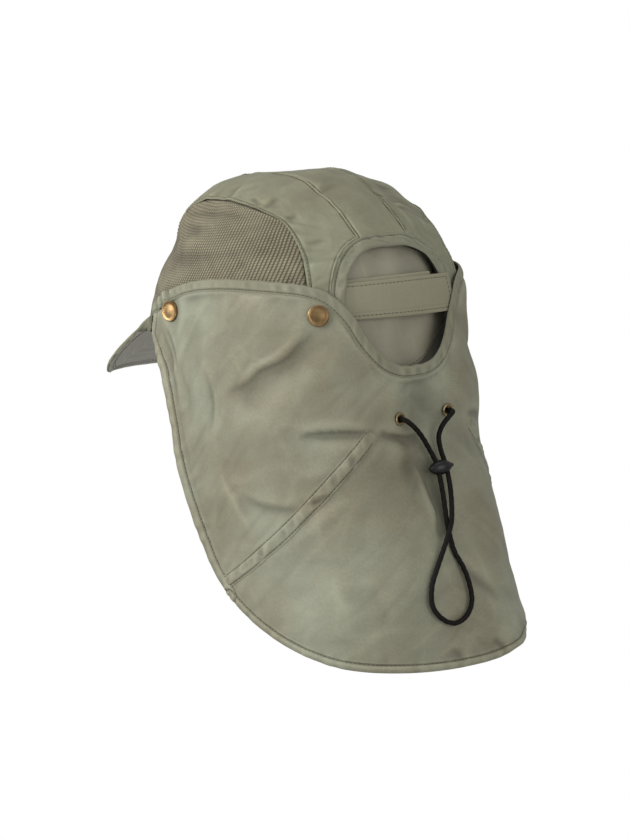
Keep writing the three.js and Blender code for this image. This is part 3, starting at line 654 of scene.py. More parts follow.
def cloth_piece(name, outer, thickness, raised=0.0, lining=0.0, inside=(0, 0, 0), cloth=None, bulge=0.4,
                shade=0.18):
    """A closed wall of cloth from a grid of points on its outer face. raised stands out of the
    outer face only and lining out of the inner one, and its rim is rounded. Its creases get painted
    shade and its ridges a painted highlight, and shade is painted shade on the inner face."""
    normals = grid_normals(outer, inside)
    flipped = np.sum(np.cross(np.gradient(outer, axis=0), np.gradient(outer, axis=1)) * normals) < 0
    face = outer + normals * np.broadcast_to(raised, outer.shape[:2])[..., None]
    back = outer - normals * (thickness + np.broadcast_to(lining, outer.shape[:2]))[..., None]
    count = outer.shape[0] * outer.shape[1]
    index = np.arange(count).reshape(outer.shape[:2])
    quads = np.stack([index[:-1, :-1], index[1:, :-1], index[1:, 1:], index[:-1, 1:]], -1).reshape(-1, 4)
    loop = np.concatenate([index[:-1, 0], index[-1, :-1], index[:0:-1, -1], index[0, :0:-1]])
    nu, nv = outer.shape[:2]
    inward = np.clip(np.arange(nu), 1, nu - 2)[:, None] * nv + np.clip(np.arange(nv), 1, nv - 2)[None]
    flat_face, flat_back = face.reshape(-1, 3), back.reshape(-1, 3)
    middle = (flat_face[loop] + flat_back[loop]) / 2
    away = unit(outer.reshape(-1, 3)[loop] - outer.reshape(-1, 3)[inward.reshape(-1)[loop]])
    rim_points = middle + away * thickness * bulge
    rim = 2 * count + np.arange(len(loop))
    after, rim_after = np.roll(loop, -1), np.roll(rim, -1)
    faces = np.vstack([
        quads, quads[:, ::-1] + count,
        np.stack([after, loop, rim, rim_after], -1),
        np.stack([rim_after, rim, loop + count, after + count], -1)])
    if flipped:
        faces = faces[:, ::-1]
    if cloth is None:
        cloth = np.stack([*grid_runs(outer), np.zeros((nu, nv))], -1)
    cloth = cloth.reshape(-1, 3)
    points = np.vstack([flat_face, flat_back, rim_points])
    # Painted shade: darker in creases and lighter on ridges, and darker on the inner face by shade.
    depth = np.sum((smoothed(face, 8) - face) * normals, -1).ravel()
    depth = np.clip(depth, -HOLLOW_REACH, HOLLOW_REACH)
    hollow = np.concatenate([depth, shade - depth, np.zeros(len(loop))])
    piece = new_piece(name, points, faces.tolist(), np.vstack([cloth, cloth, cloth[loop]]), 60, hollow)
    return piece, face, normals


def arch_lift(turn, grow):
    """The lift of the opening's edge at a turn, on an opening grown by some degrees."""
    share = np.minimum(1, np.abs(turn) / (ARCH_TURN + grow))
    return (ARCH_LIFT + grow) * (1 - share ** ARCH_SQUARENESS) ** (1 / ARCH_SQUARENESS)


def strip_direction(across, roll):
    """A direction across the strip, rolled from the front at 0 over the top to the back."""
    angle = np.radians(roll)
    ahead = np.where(roll > 90, BACK_REACH, FRONT_REACH)
    drift = STRIP_DRIFT * np.sin(angle) ** 2 * smoothstep(150 - roll, 0, 50)
    return np.stack(np.broadcast_arrays(
        across + drift, -ahead * np.cos(angle), CROWN_HEIGHT * np.sin(angle)), -1)


def strip_end_roll(across, grow):
    """The roll at which the strip meets the grown opening."""
    low, high = np.full(np.shape(across), 90.0), np.full(np.shape(across), 179.0)
    for _ in range(40):
        middle = (low + high) / 2
        d = strip_direction(across, middle)
        turn = np.degrees(np.arctan2(d[..., 0], d[..., 1]))
        lift = np.degrees(np.arctan2(d[..., 2], np.hypot(d[..., 0], d[..., 1])))
        short = lift > arch_lift(turn, grow)
        low, high = np.where(short, middle, low), np.where(short, high, middle)
    return low


# The vent's border from the front of the base, over the top, to the back of the base.
VENT_BORDER = smooth_curve(bearings(*zip(
    (146, 0), (145, 13), (142, 27), (136, 39), (124, 47), (108, 53.5), (86, 55.5), (67, 52), (53, 47),
    (43, 41), (38, 33), (35.5, 24), (34.5, 12), (34.5, 0))))
VENT_FRONT_TURN = 146
VENT_REAR_TURN = 34.5
VENT_CENTRE = bearings(92, 20)


def grow_vent(directions, degrees):
    """Directions on the vent's border moved outwards from its middle."""
    grown = directions + unit(directions - VENT_CENTRE) * np.radians(degrees)
    grown[..., 2] = np.maximum(0, grown[..., 2])
    return grown


def darken_hollows(tree, color):
    """The colour with painted shade: darker in creases, grooves and on inner faces, and painted a little
    lighter on ridges.
    """
    hollow = add_node(tree, "Attribute", {"attribute_name": "hollow"})
    shade = between(tree, hollow.outputs["Fac"], 1.12, 0.09, -HOLLOW_REACH, 1.1)
    shaded = add_node(tree, "VectorMath", {"operation": "SCALE"}, wires={"Vector": color, "Scale": shade})
    return shaded.outputs["Vector"]


def reckon(tree, operation, *terms):
    """The result of arithmetic on terms, each a number or a socket."""
    values = {k: term for k, term in enumerate(terms) if isinstance(term, float)}
    wires = {k: term for k, term in enumerate(terms) if k not in values}
    return add_node(tree, "Math", {"operation": operation}, values, wires).outputs[0]


def object_place(tree):
    """Each point's place on the piece itself."""
    return add_node(tree, "TexCoord").outputs["Object"]


# A wave pattern of scale WAVE_SCALE / pitch repeats at every pitch.
WAVE_SCALE = 0.314


def cloth_finish(name, light, dark, grain=0.75):
    """Woven cloth: soft patches of two tones, a fine weave in relief, a slight fuzz and painted shade in its
    creases and insides.
    """
    material, tree, shader = new_material(
        name, Roughness=0.62, Sheen_Weight=0.06, Sheen_Roughness=0.4, Specular_IOR_Level=0.3)
    flat = flat_place(tree)
    patch = noise(tree, 17.0, 3.0, object_place(tree), 0.55)
    fleck = noise(tree, 0.5, 4.0, flat, 0.7)
    mixed = add_node(tree, "Mix", {"data_type": "FLOAT"}, {"Factor": 0.35}, {"A": patch, "B": fleck})
    tone = two_tones(tree, mixed.outputs["Result"], dark, light, 0.36, 0.66)
    warp, weft = (waves(tree, flat, direction, WAVE_SCALE / grain, 1.2, 1.0, 1.5) for direction in "XY")
    woven = bump(tree, reckon(tree, "ADD", reckon(tree, "MULTIPLY", warp, weft), fleck), 0.2, 0.0002)
    # Fine creases of worn cloth: a thin line wherever a slow noise passes its middle value.
    wander = noise(tree, 0.045, 2.0, flat, 0.5, 0.5)
    from_middle = reckon(tree, "ABSOLUTE", reckon(tree, "SUBTRACT", wander, 0.5))
    crease = between(tree, from_middle, 0.0, 1.0, 0.0, 0.16, "SMOOTHSTEP")
    join(tree, shader, {
        "Base Color": darken_hollows(tree, tone), "Normal": bump(tree, crease, 0.25, 0.0003, woven)})
    return material


CROWN_TONES = paint(157, 158, 134), paint(140, 137, 112)
crown_finish = cloth_finish("light_olive_cloth", *CROWN_TONES)
# The thread is painted darker than the cloth, as painted shade in its sunk stitch lines.
thread_finish = cloth_finish("olive_thread", paint(108, 105, 83), paint(82, 79, 60), grain=0.4)

STITCH_PITCH = 2.7
STITCH_LENGTH = 2.0
STITCH_THICKNESS = 0.4


def stitches(name, rows):
    """Every stitch of rows given as lines of points with their outward directions."""
    dice = np.random.default_rng(len(name))
    points, faces = [], []
    share = np.array([0, 0.3, 0.7, 1])
    girth = STITCH_THICKNESS / 2 * np.array([0.4, 1, 1, 0.4])
    lift = STITCH_THICKNESS * np.array([-0.15, 0.3, 0.3, -0.15])
    for line, up in rows:
        run = run_of(line)
        count = int(run[-1] // STITCH_PITCH)
        if count < 1:
            continue
        start = (run[-1] - count * STITCH_PITCH + STITCH_PITCH - STITCH_LENGTH) / 2
        spots = start + STITCH_PITCH * np.arange(count)[:, None] + STITCH_LENGTH * share
        spots = np.clip(spots, 0, run[-1])
        middle = read_rows(spots, run, line)
        ups = unit(read_rows(spots, run, up))
        ways = unit(np.gradient(middle, axis=1))
        sides = unit(np.cross(ups, ways))
        middle = middle + sides * dice.normal(0, 0.05, (count, 1, 1))
        ring = np.stack([
            middle + sides * (girth * math.cos(a))[:, None] + ups * (lift + girth * math.sin(a))[:, None]
            for a in np.radians([0, 90, 180, 270])], axis=2)
        offset = sum(len(p) for p in points)
        points.append(ring.reshape(-1, 3))
        base = offset + 16 * np.arange(count)[:, None]
        for r in range(3):
            for s in range(4):
                a, b = 4 * r + s, 4 * r + (s + 1) % 4
                faces.append(base + np.array([a, b, b + 4, a + 4]))
        faces.append(base + np.array([3, 2, 1, 0]))
        faces.append(base + np.array([12, 13, 14, 15]))
    made = np.vstack(points)
    piece = new_piece(name, made, np.vstack(faces).tolist(), made, sharp=80)
    return fit_piece(piece, thread_finish, "binding_cloth")


def crown_line(directions, out):
    """A line laid on the crown's cloth, with its outward directions."""
    out = crown_relief(directions) + out
    line = on_crown(directions, out)
    return line, unit(on_crown(directions, out + 1) - line)


def blend(first, second, share):
    """A mix that goes from the first to the second as a share goes from 0 to 1."""
    return first * (1 - share) + second * share


def uneven(*stops):
    """Values through stops, with the count of even steps from each to the next between them."""
    runs = zip(stops[::2], stops[1::2], stops[2::2])
    return np.concatenate([np.linspace(a, b, count, endpoint=False) for a, count, b in runs] + [stops[-1:]])


# The strip's long edges run this far under the side panels, and this deep.
SEAM_TUCK = 2.4
SEAM_DEPTH = 1.55
strip_columns = uneven(-STRIP_RIGHT - SEAM_TUCK, 8, -STRIP_RIGHT + SEAM_TUCK, 23,
                       STRIP_LEFT - SEAM_TUCK, 8, STRIP_LEFT + SEAM_TUCK)
strip_rolls = np.linspace(0, 1, 300)[None] * strip_end_roll(strip_columns, PANEL_GROW - 0.15)[:, None]
strip_way = strip_direction(strip_columns[:, None], strip_rolls)
beyond = np.maximum(strip_columns - STRIP_LEFT, -STRIP_RIGHT - strip_columns)[:, None]
strip_out = crown_relief(strip_way) - SEAM_DEPTH * smoothstep(beyond, -1.0, 0.5)
# The insides of the cap are darkened to stand for the shade in there.
DEEP_SHADE = 1.1
INNER_SHADE = 0.9
strip, _, _ = cloth_piece("crown_strip", on_crown(strip_way, strip_out), CLOTH, shade=DEEP_SHADE)
fit_piece(strip, crown_finish, "crown_cloth", "crown_center_strip")

# The share of a side panel's upper edge that runs along the strip. The rest follows the opening.
STRIP_SHARE = 0.7
PANEL_STITCHES = 1.2
PANEL_FOLD = 2.4
SIDES = [
    # label, side, the strip's edge, how strongly the vent's edge is drawn in, the seam's stitches:
    # how far from the edge and how far out
    ("left", 1, STRIP_LEFT + GAP, 1.3, 2.2, 0.1),
    ("right", -1, STRIP_RIGHT + GAP, 0.5, 1.8, 0.25),
]
crown_rows = []
for label, side, edge, draw, inset, above in SIDES:
    end_roll = float(strip_end_roll(np.array(edge * side), PANEL_GROW))
    corner = strip_direction(np.array(edge * side), np.array(end_roll))
    corner_turn = abs(math.degrees(math.atan2(corner[0], corner[1])))
    u, v = np.linspace(0, 1, 300), uneven(0, 12, 0.08, 33, 0.92, 12, 1)
    # The right panel laps over its vent, most beside the opening.
    cover = GAP_TURN * 0.5 if side > 0 else -2.6 - 2.4 * swell(u[:, None], 0.62, 0.12)
    inner = grow_vent(read_along(VENT_BORDER, u), cover) * np.array([side, 1, 1])
    swing = np.sin(np.clip((u - STRIP_SHARE) / (1 - STRIP_SHARE), 0, 1) * math.pi / 2)
    arch_turn = corner_turn + (ARCH_TURN + PANEL_GROW - 0.1 - corner_turn) * swing
    arch_side = bearings(arch_turn * side, np.where(u > 0.9999, 0, arch_lift(arch_turn, PANEL_GROW - 0.1)))
    strip_side = unit(strip_direction(edge * side, np.minimum(u / STRIP_SHARE, 1) * end_roll))
    outer = np.where(u[:, None] < STRIP_SHARE, strip_side, arch_side)
    side_way = blend(inner[:, None], outer[:, None], v[None, :, None])
    along, from_vent = grid_runs(on_crown(side_way))
    to_seam = from_vent[:, -1:] - from_vent
    drawn = draw * puckers(along[:, :1], from_vent, 6, 31 + side) * np.exp(-from_vent / 12)
    drawn = drawn * (0.3 + 0.7 * smoothstep(from_vent, 0.5, 6))
    drawn += 0.7 * puckers(along[:, :1], to_seam, 5.5, 34 + side) * np.exp(-to_seam / 7)
    folded_edge = 0.5 * (1 - smoothstep(from_vent, PANEL_FOLD - 0.8, PANEL_FOLD))
    side_out = crown_relief(side_way) + folded_edge + drawn
    side_out = side_out - 0.45 * swell(from_vent, PANEL_FOLD, 0.5) - 0.5 * swell(to_seam, 0, 0.4)
    side_out = side_out + 0.35 * swell(to_seam, 0.9, 0.7) - 0.5 * swell(to_seam, 2.2, 0.5)
    panel, face, normals = cloth_piece(
        f"crown_side_cloth_{label}", on_crown(side_way, side_out), CLOTH, shade=DEEP_SHADE)
    fit_piece(panel, crown_finish, "crown_cloth", f"crown_side_{label}")
    every = np.arange(len(u))[2:-2]
    k = np.argmax(from_vent >= PANEL_STITCHES, axis=1)[2:-2]
    crown_rows.append((face[every, k], normals[every, k]))
    roll_row = np.linspace(4, end_roll - 1, 200)
    crown_rows.append(crown_line(strip_direction((edge + inset) * side, roll_row), above))
stitches("crown_topstitching", crown_rows)


# Mesh vents
# A see-through warp knit on each side of the crown, drab and slightly darker than the cloth. Its
# fine ribs stand almost upright, and its edges are caught under the crown cloth.
MESH_CLOTH = 1
VENT_FRONT_CORNER = 0.3
VENT_REAR_CORNER = 0.74
MESH_TUCK = 1.5
RIB_PITCH = 2.8
LOOP_PITCH = 1.75
RIB_HEIGHT = 0.22
MESH_UNDER = 1.35
MESH_COLUMNS = 500
MESH_ROWS = 56

# Furrows of the mesh: width, depth inwards, turns and lifts.
MESH_CREASES = [
    (3.2, 0.9, [(133, 42), (112, 47), (92, 49), (70, 46), (52, 41)]),
    (5.0, 0.9, [(138, 36), (118, 41), (96, 42), (74, 39)]),
    (5.0, 0.7, [(140, 24), (120, 28), (98, 30), (74, 30), (52, 30)]),
    (4.0, -0.6, [(139, 30), (119, 34), (97, 36), (76, 35)]),
    (4.5, 0.6, [(140, 12), (118, 14), (96, 17)]),
    (4.0, 0.5, [(120, 4), (92, 8), (70, 10), (48, 16)]),
]


def fill_between(bottom, top, left, right, u, v):
    """Fills the space between four edges that meet at their ends."""
    u, v = u[:, None, None], v[None, :, None]
    return (bottom[:, None] * (1 - v) + top[:, None] * v + left[None] * (1 - u) + right[None] * u
            - (1 - u) * (1 - v) * left[0] - u * (1 - v) * right[0]
            - (1 - u) * v * left[-1] - u * v * right[-1])


knit_finish, tree, shader = new_material("drab_warp_knit", Roughness=0.8, Sheen_Weight=0.1)
flat = flat_place(tree)
rib_waves = waves(tree, flat, "X", WAVE_SCALE / RIB_PITCH)
loop_waves = waves(tree, flat, "Y", WAVE_SCALE / LOOP_PITCH, 0.4, 1.0)
knit = reckon(tree, "MULTIPLY", rib_waves, reckon(tree, "MULTIPLY_ADD", loop_waves, 0.5, 0.45))
wear_and_painted_shade = reckon(tree, "MULTIPLY_ADD", noise(tree, 30.0, 4.0, object_place(tree)), 0.5, knit)
tone = two_tones(tree, wear_and_painted_shade, paint(80, 73, 54), paint(162, 155, 129), 0.3, 0.95)
# Its colour gets painted shade in creases and on its inner face, as the cloth's does.
join(tree, shader, {"Base Color": darken_hollows(tree, tone), "Normal": bump(tree, knit, 0.5, 0.0003)})

for side, label in ((1, "left"), (-1, "right")):
    u, v = np.linspace(0, 1, MESH_COLUMNS), np.linspace(0, 1, MESH_ROWS)
    border = grow_vent(VENT_BORDER.copy(), MESH_TUCK)
    bottom = bearings(VENT_FRONT_TURN + MESH_TUCK + (VENT_REAR_TURN - VENT_FRONT_TURN - 2 * MESH_TUCK) * u, 0)
    top = read_along(border, VENT_FRONT_CORNER + (VENT_REAR_CORNER - VENT_FRONT_CORNER) * u)
    front = read_along(border, VENT_FRONT_CORNER * v)
    rear = read_along(border, 1 - (1 - VENT_REAR_CORNER) * v)
    mesh_way = fill_between(bottom, top, front, rear, u, v) * np.array([side, 1, 1])
    tucked = from_edges(on_crown(mesh_way), "ltr")
    spots = unit(mesh_way) * CROWN_BALL * np.array([side, 1, 1])
    relief = 1.4 * creases_at(spots, MESH_CREASES, lambda path: crown_path(path, 16))
    relief += 0.7 * mottle(spots, 13, 41 + side) + 0.3 * mottle(spots, 6, 44)
    # The right mesh lies deeper beside the opening and is tucked further in.
    deep = 0
    if side < 0:
        deep = 4.5 * swell(angle_from(unit(spots), 58, 40), 0, 0.32)
        tucked = tucked - 7
    under = crown_relief(mesh_way) - MESH_UNDER - 0.6 * deep
    relief = (relief - deep) * smoothstep(tucked, 3, 9) + under * (1 - smoothstep(tucked, 2.6, 5))
    # The ribs keep an even pitch and lean back as they rise.
    turns = np.degrees(np.arctan2(spots[..., 0], spots[..., 1]))
    lean = turns * 1.62 + 0.55 * spots[..., 2]
    ribs = RIB_HEIGHT * np.cos(2 * np.pi * lean / RIB_PITCH)
    flat = np.stack([lean, spots[..., 2] * 1.15, np.zeros_like(lean)], -1)
    panel, _, _ = cloth_piece(f"mesh_vent_{label}", on_crown(mesh_way, relief), MESH_CLOTH,
                              raised=ribs, cloth=flat, shade=INNER_SHADE)
    fit_piece(panel, knit_finish, "mesh", f"mesh_panel_{label}")


# Peak
# A flat stiffener covered with the crown's cloth above and a greyer one below, sewn through in
# rows that follow its rim and bound along it. Its root is sewn into the crown's base.
PEAK_HALF_WIDTH = 84
PEAK_CENTRE = -60
PEAK_LENGTH = 129
PEAK_SQUARENESS = 2.4
PEAK_THICKNESS = 2.8
PEAK_TURN = 127
PEAK_ROOT_HEIGHT = 2.5
PEAK_DROP = 52
PEAK_BINDING = 4.4
# A small part of the thickness is left to the seams and the grain of the cloth.
PEAK_WALL = PEAK_THICKNESS - 0.5


def flare_at(depth, values):
    """A row of the cape's flare, read at a depth between its values."""
    values = np.asarray(values, float)
    place = np.minimum(depth / FLARE_STEP, (len(values) - 1) * 1.1)
    base = np.clip(np.floor(place).astype(int), 0, len(values) - 2)
    t = place - base
    p0, p1 = values[np.maximum(base - 1, 0)], values[base]
    p2, p3 = values[base + 1], values[np.minimum(base + 2, len(values) - 1)]
    curved = bend(p1, p2, (p2 - p0) / 2, (p3 - p1) / 2, t)
    straight = values[-1] + (values[-1] - values[-2]) * (place - (len(values) - 1))
    return np.where(place <= len(values) - 1, curved, straight)


# How far the cape stands further out at every FLARE_STEP below the crown's base.
FLARE_STEP = 40
CAPE_SIDE_FLARE = (0, 1.5, 2, 5, 9, 13)
CAPE_BACK_FLARE = (0, 4, 6, 15, 28, 38)
CAPE_MM_PER_DEGREE = 1.75
# Folds of the cape: turn, height, to turn, to height, width, depth outwards.
FOLDS = [
    (-4, -56, -2, -84, 23, -10.5), (37, -16, 58, -36, 12, -2.5), (2, -92, -1, -122, 14, -2.5),
    (16, -138, 34, -190, 26, 4), (-33, -88, -17, -73, 15, -1.6), (-37, -16, -58, -36, 12, -2.5),
    (-62, -80, -62, -175, 42, -2.8), (-64, -84, -46, -78, 13, -2),
]


def on_cloth(turns, heights):
    """Turns and heights as places on the flat cape."""
    return np.stack(np.broadcast_arrays(np.multiply(turns, CAPE_MM_PER_DEGREE), heights), -1)


def folds_at(turns, heights):
    """How far the cape's large folds stand out."""
    total = 0
    spots = on_cloth(turns, heights)
    for turn, height, to_turn, to_height, width, depth in FOLDS:
        start = on_cloth(turn, height)
        step = on_cloth(to_turn, to_height) - start
        t = np.clip((spots - start) @ step / (step @ step), 0, 1)
        away = np.linalg.norm(spots - start - t[..., None] * step, axis=-1) / width
        total = total + depth * swell(away, 0, 1)
    return total


def round_head(turns, heights, out, drapes):
    """Points round the head at heights above the crown's base, hanging straight or flaring."""
    turns, heights = np.broadcast_arrays(np.asarray(turns, float), np.asarray(heights, float))
    x, y = np.sin(np.radians(turns)), np.cos(np.radians(turns))
    front = frontness(x, y)
    depth = np.maximum(0, -heights)
    drop = np.minimum(depth / 120, 1) if drapes else 0
    side = HALF_WIDTH + (flare_at(depth, CAPE_SIDE_FLARE) if drapes else 0)
    back = BACK_REACH + (flare_at(depth, CAPE_BACK_FLARE) if drapes else 0)
    square, full = squareness(front)
    square = square + 0.25 * drop * (1 - front)
    ahead = np.where(y > 0, back, FRONT_REACH)
    reach = (np.abs(x / side) ** square + np.abs(y / ahead) ** square) ** (-1 / square)
    reach = reach * (1 - (np.maximum(0, heights) / CROWN_HEIGHT) ** full) ** (1 / full)
    reach = reach - dents_at(unit(np.stack([x * reach, y * reach, heights], -1)))
    reach = reach + out + (folds_at(turns, heights) if drapes else 0)
    return tip_forward(np.stack([x * reach, y * reach, heights], -1))


rim_angle = np.radians(np.linspace(-90, 90, 61))
rim_x = PEAK_HALF_WIDTH * np.sign(-rim_angle) * np.abs(np.sin(rim_angle)) ** (2 / PEAK_SQUARENESS)
rim_y = PEAK_CENTRE - PEAK_LENGTH * np.abs(np.cos(rim_angle)) ** (2 / PEAK_SQUARENESS)
rim_forward = np.clip((PEAK_CENTRE - rim_y) / 100, 0, 1)
rim_x *= 1 - 0.015 * swell(rim_forward, 0, 0.1)
rim_z = (PEAK_ROOT_HEIGHT - PEAK_DROP * (1 - (1 - rim_forward) ** 1.1)
         - 2 * np.maximum(0, (-rim_y - 160) / 25))
peak_rim = smooth_curve(np.stack([rim_x, rim_y, rim_z], -1))
u, v = np.linspace(0, 1, 240), uneven(0, 45, 0.86, 25, 1)
seat = GAP - (GAP + CLOTH) * smoothstep(np.minimum(u, 1 - u), 0.035, 0.06)
root = round_head(PEAK_TURN + (360 - 2 * PEAK_TURN) * u, -GAP, seat, False)
rim = read_along(peak_rim, u)
peak_top = blend(root[:, None], rim[:, None], v[None, :, None])
peak_top[..., 2] += 2.5 * np.sin(np.pi * v)[None] * np.sin(np.pi * u)[:, None]
from_root = grid_runs(peak_top)[1]
from_rim = from_root[:, -1:] - from_root
from_sides = from_edges(peak_top, "lr")
to_rim = np.minimum(from_rim, from_sides * 0.8 + 0.2)
bound_edge = 0.35 * (1 - smoothstep(to_rim, PEAK_BINDING - 0.8, PEAK_BINDING))
bound_edge -= 0.3 * swell(to_rim, PEAK_BINDING - 0.1, 0.5)
PEAK_ROWS = (7.5, 16, 26, 37, 49)
quilting = -0.22 * sum(swell(from_rim, row, 1.0) for row in PEAK_ROWS)
under_seam = -0.3 * swell(from_rim, PEAK_ROWS[0], 0.8)
peak_grain = 0.12 * mottle(peak_top, 11, 51) + 0.08 * mottle(peak_top, 5, 52)
peak_finish = cloth_finish("peak_cloth", *CROWN_TONES)
peak_piece, peak_face, peak_normals = cloth_piece(
    "covered_peak", peak_top, PEAK_WALL, raised=bound_edge + quilting + peak_grain - 0.35,
    lining=bound_edge + under_seam + peak_grain, inside=(0, -100, -400), bulge=0.5)
fit_piece(peak_piece, peak_finish, "peak_cloth", "peak")
# Its underside is a greyer cloth, which stops short of the two ends of its root. It is painted far
# lighter, as painted light against the shade under the peak.
peak_piece.data.materials.append(cloth_finish("peak_lining", paint(238, 235, 220), paint(226, 222, 207)))
top_faces = (len(u) - 1) * (len(v) - 1)
end_faces = 14 * (len(v) - 1)
for face in peak_piece.data.polygons[top_faces + end_faces:2 * top_faces - end_faces]:
    face.material_index = 1

peak_rows = []
peak_back = peak_top - peak_normals * (PEAK_WALL + bound_edge + under_seam + peak_grain)[..., None]
for row in (5.2,) + PEAK_ROWS:
    k = np.argmax(from_rim <= row, axis=1)
    spots = np.arange(len(u))
    kept = (from_sides[spots, k] > 8) & (k > 2)
    peak_rows.append((peak_face[spots, k][kept], peak_normals[spots, k][kept]))
    if row < 8:
        peak_rows.append((peak_back[spots, k][kept], -peak_normals[spots, k][kept]))
stitches("peak_topstitching", peak_rows)


# Back opening and straps
# The opening's hem is the crown cloth turned in twice and stitched. A folded strap leaves its left
# hem from behind and is sewn on its right hem, with a second, shorter strap behind it.
STRAP_LOW = 2.8
STRAP_HIGH = 15.3
STRAP_CLOTH = 0.95
HEM_CLOTH = 1.6
# The hem has 15 columns from the opening outwards. Its stitches lie on this one.
HEM_STITCHES = 11


def arch_curve(grow):
    """The edge of the grown opening, from its foot on the left to that on the right."""
    side = np.cos(np.pi * np.arange(81) / 80)
    turns = (ARCH_TURN + grow) * np.sign(side) * np.abs(side) ** (2 / ARCH_SQUARENESS)
    return smooth_curve(bearings(turns, arch_lift(turns, grow)))


band_finish = cloth_finish("turned_hem_cloth", paint(154, 154, 133), paint(138, 135, 112))
u, v = np.linspace(0, 1, 420), np.linspace(0, 1, 15)
hem_way = blend(read_along(arch_curve(0), u)[:, None], read_along(arch_curve(ARCH_HEM + 0.12), u)[:, None],
                v[None, :, None])
plain = on_crown(hem_way)
run, across = grid_runs(plain)
pucker = 0.7 * puckers(run, across * 2, 4.6, 61) + 0.3 * mottle(plain, 6, 62)
round_hem = np.sin(np.pi * v)[None]
hem_out = 0.1 + crown_relief(hem_way) + 0.3 * round_hem ** 0.5 + pucker * round_hem
hem_out = hem_out - 0.65 * swell(v[None], 0.8, 0.08)
hem, face, normals = cloth_piece("opening_hem", on_crown(hem_way, hem_out), HEM_CLOTH, bulge=0.5,
                                 shade=INNER_SHADE)
fit_piece(hem, band_finish, "binding_cloth", "arch_binding")
hem_rows = [(face[3:-3, HEM_STITCHES], normals[3:-3, HEM_STITCHES])]

# The straps' cloth is painted lighter than the crown's, as painted light against the shade in the opening.
strap_finish = cloth_finish("strap_cloth", paint(166, 163, 138), paint(154, 149, 124))
STRAPS = [
    # name, left and right turn, low and high lift, how far out at the left and the right, node
    ("strap", 25.8, -24.6, STRAP_LOW, STRAP_HIGH, -2.95, 0.65, "strap_outer"),
    ("short_strap", 25.8, -14, STRAP_LOW + 1.4, STRAP_HIGH + 1.4, -4.35, -0.95, "strap_inner"),
]
for name, left, right, low, high, left_out, right_out, node in STRAPS:
    u, v = np.linspace(0, 1, 160), np.linspace(0, 1, 34)
    turns = left + (right - left) * u
    across = smoothstep(-turns, -ARCH_TURN + 3, ARCH_TURN - 2)
    out = left_out + (right_out - left_out) * across
    way = bearings(turns[:, None], (low + (high - low) * v)[None])
    plain = on_crown(way)
    height = grid_runs(plain)[1]
    width = height[:, -1:]
    # Seams at both long edges leave flat ribs between them.
    rows = [1.8, 4.0, width - 2.0]
    seamed = -0.16 * sum(swell(height, row, 0.45) for row in rows)
    soft_wave = 0.1 * mottle(plain, 14, 63) + 0.015 * np.sin(run_of(plain[:, 0])[:, None] * 0.9)
    strap, face, normals = cloth_piece(name, on_crown(way, out[:, None] + STRAP_CLOTH), STRAP_CLOTH - 0.12,
                                       raised=seamed + soft_wave - 0.1)
    fit_piece(strap, strap_finish, "strap_cloth", node)
    if node == "strap_outer":
        for row in (1.8, width.mean() - 2.0):
            k = int(np.argmin(np.abs(height[80] - row)))
            hem_rows.append((face[3:-3, k], normals[3:-3, k]))
        end = int(np.argmin(np.abs(turns + 22.3)))
        hem_rows.append((face[end, 2:-2], normals[end, 2:-2]))
stitches("opening_topstitching", hem_rows)


# Cloth behind the opening
# A loose piece of the cape's cloth sewn in behind the left of the opening. It covers the gap over
# the neck, and its right and lower edges are free, stitched and a little curled.
CAPE_EASE = 3.2
PANEL_TOP = [(27, 53), (8, 53.5), (-8, 49), (-20, 41)]
PANEL_SIDE = [(-20, 41), (-29, 31), (-30.5, 12), (-28, -5)]
PANEL_BOTTOM = [(27, -38), (10, -36), (-6, -27), (-28, -5)]
PANEL_LEFT_OUT = -4.9
PANEL_RIGHT_OUT = -9
PANEL_CLOTH = 0.9
PANEL_HEM = 4.4


def cloth_points(rows):
    """Rows of a turn and a height as places on the flat cape."""
    return on_cloth(*np.transpose(rows))


def off_cloth(spots):
    """The turns and heights of places on the flat cape."""
    return spots[..., 0] / CAPE_MM_PER_DEGREE, spots[..., 1]


u, v = np.linspace(0, 1, 110), np.linspace(0, 1, 120)
bottom = read_along(smooth_curve(cloth_points(PANEL_BOTTOM)), u)
top = read_along(smooth_curve(cloth_points(PANEL_TOP)), u)
right = read_along(smooth_curve(cloth_points(PANEL_SIDE)), 1 - v)
left = blend(cloth_points(PANEL_BOTTOM[:1]), cloth_points(PANEL_TOP[:1]), v[:, None])
spot = fill_between(bottom, top, left, right, u, v)
inward = PANEL_LEFT_OUT + (PANEL_RIGHT_OUT - PANEL_LEFT_OUT) * smoothstep(u, 0, 0.8)[:, None]
turns, heights = off_cloth(spot)
plain = round_head(turns, heights, inward, False)
to_edge = from_edges(plain, "rtb")
wave = 0.8 * np.sin(0.19 * spot[..., 0] + 0.05 * heights + mottle(plain, 25, 71))
wave *= smoothstep(u, 0.1, 0.5)[:, None]
wave += 0.35 * crumple(plain, 14, 72) + 0.3 * mottle(plain, 17, 73)
inner_cloth, face, normals = cloth_piece(
    "cloth_behind_opening", round_head(turns, heights, inward + wave - 0.4, False), PANEL_CLOTH,
    raised=0.25 * (1 - smoothstep(to_edge, PANEL_HEM - 0.8, PANEL_HEM)) - 0.2 * swell(to_edge, 3, 0.4))
# The cloth behind the opening is the cape's cloth painted lighter, as painted light against the shade it
# hangs in.
behind_finish = cloth_finish("cape_cloth_painted_lighter", paint(172, 169, 148), paint(161, 155, 134))
cape_finish = cloth_finish("cape_cloth", paint(163, 166, 145), paint(145, 139, 116))
fit_piece(inner_cloth, behind_finish, "cape_cloth", "inner_back_panel")
inner_rows = [(grid[-4, 4:-4], grid[4:-4, -4], grid[4:-4, 3]) for grid in (face, normals)]
inner_thread = stitches("inner_cloth_stitching", list(zip(*inner_rows)))


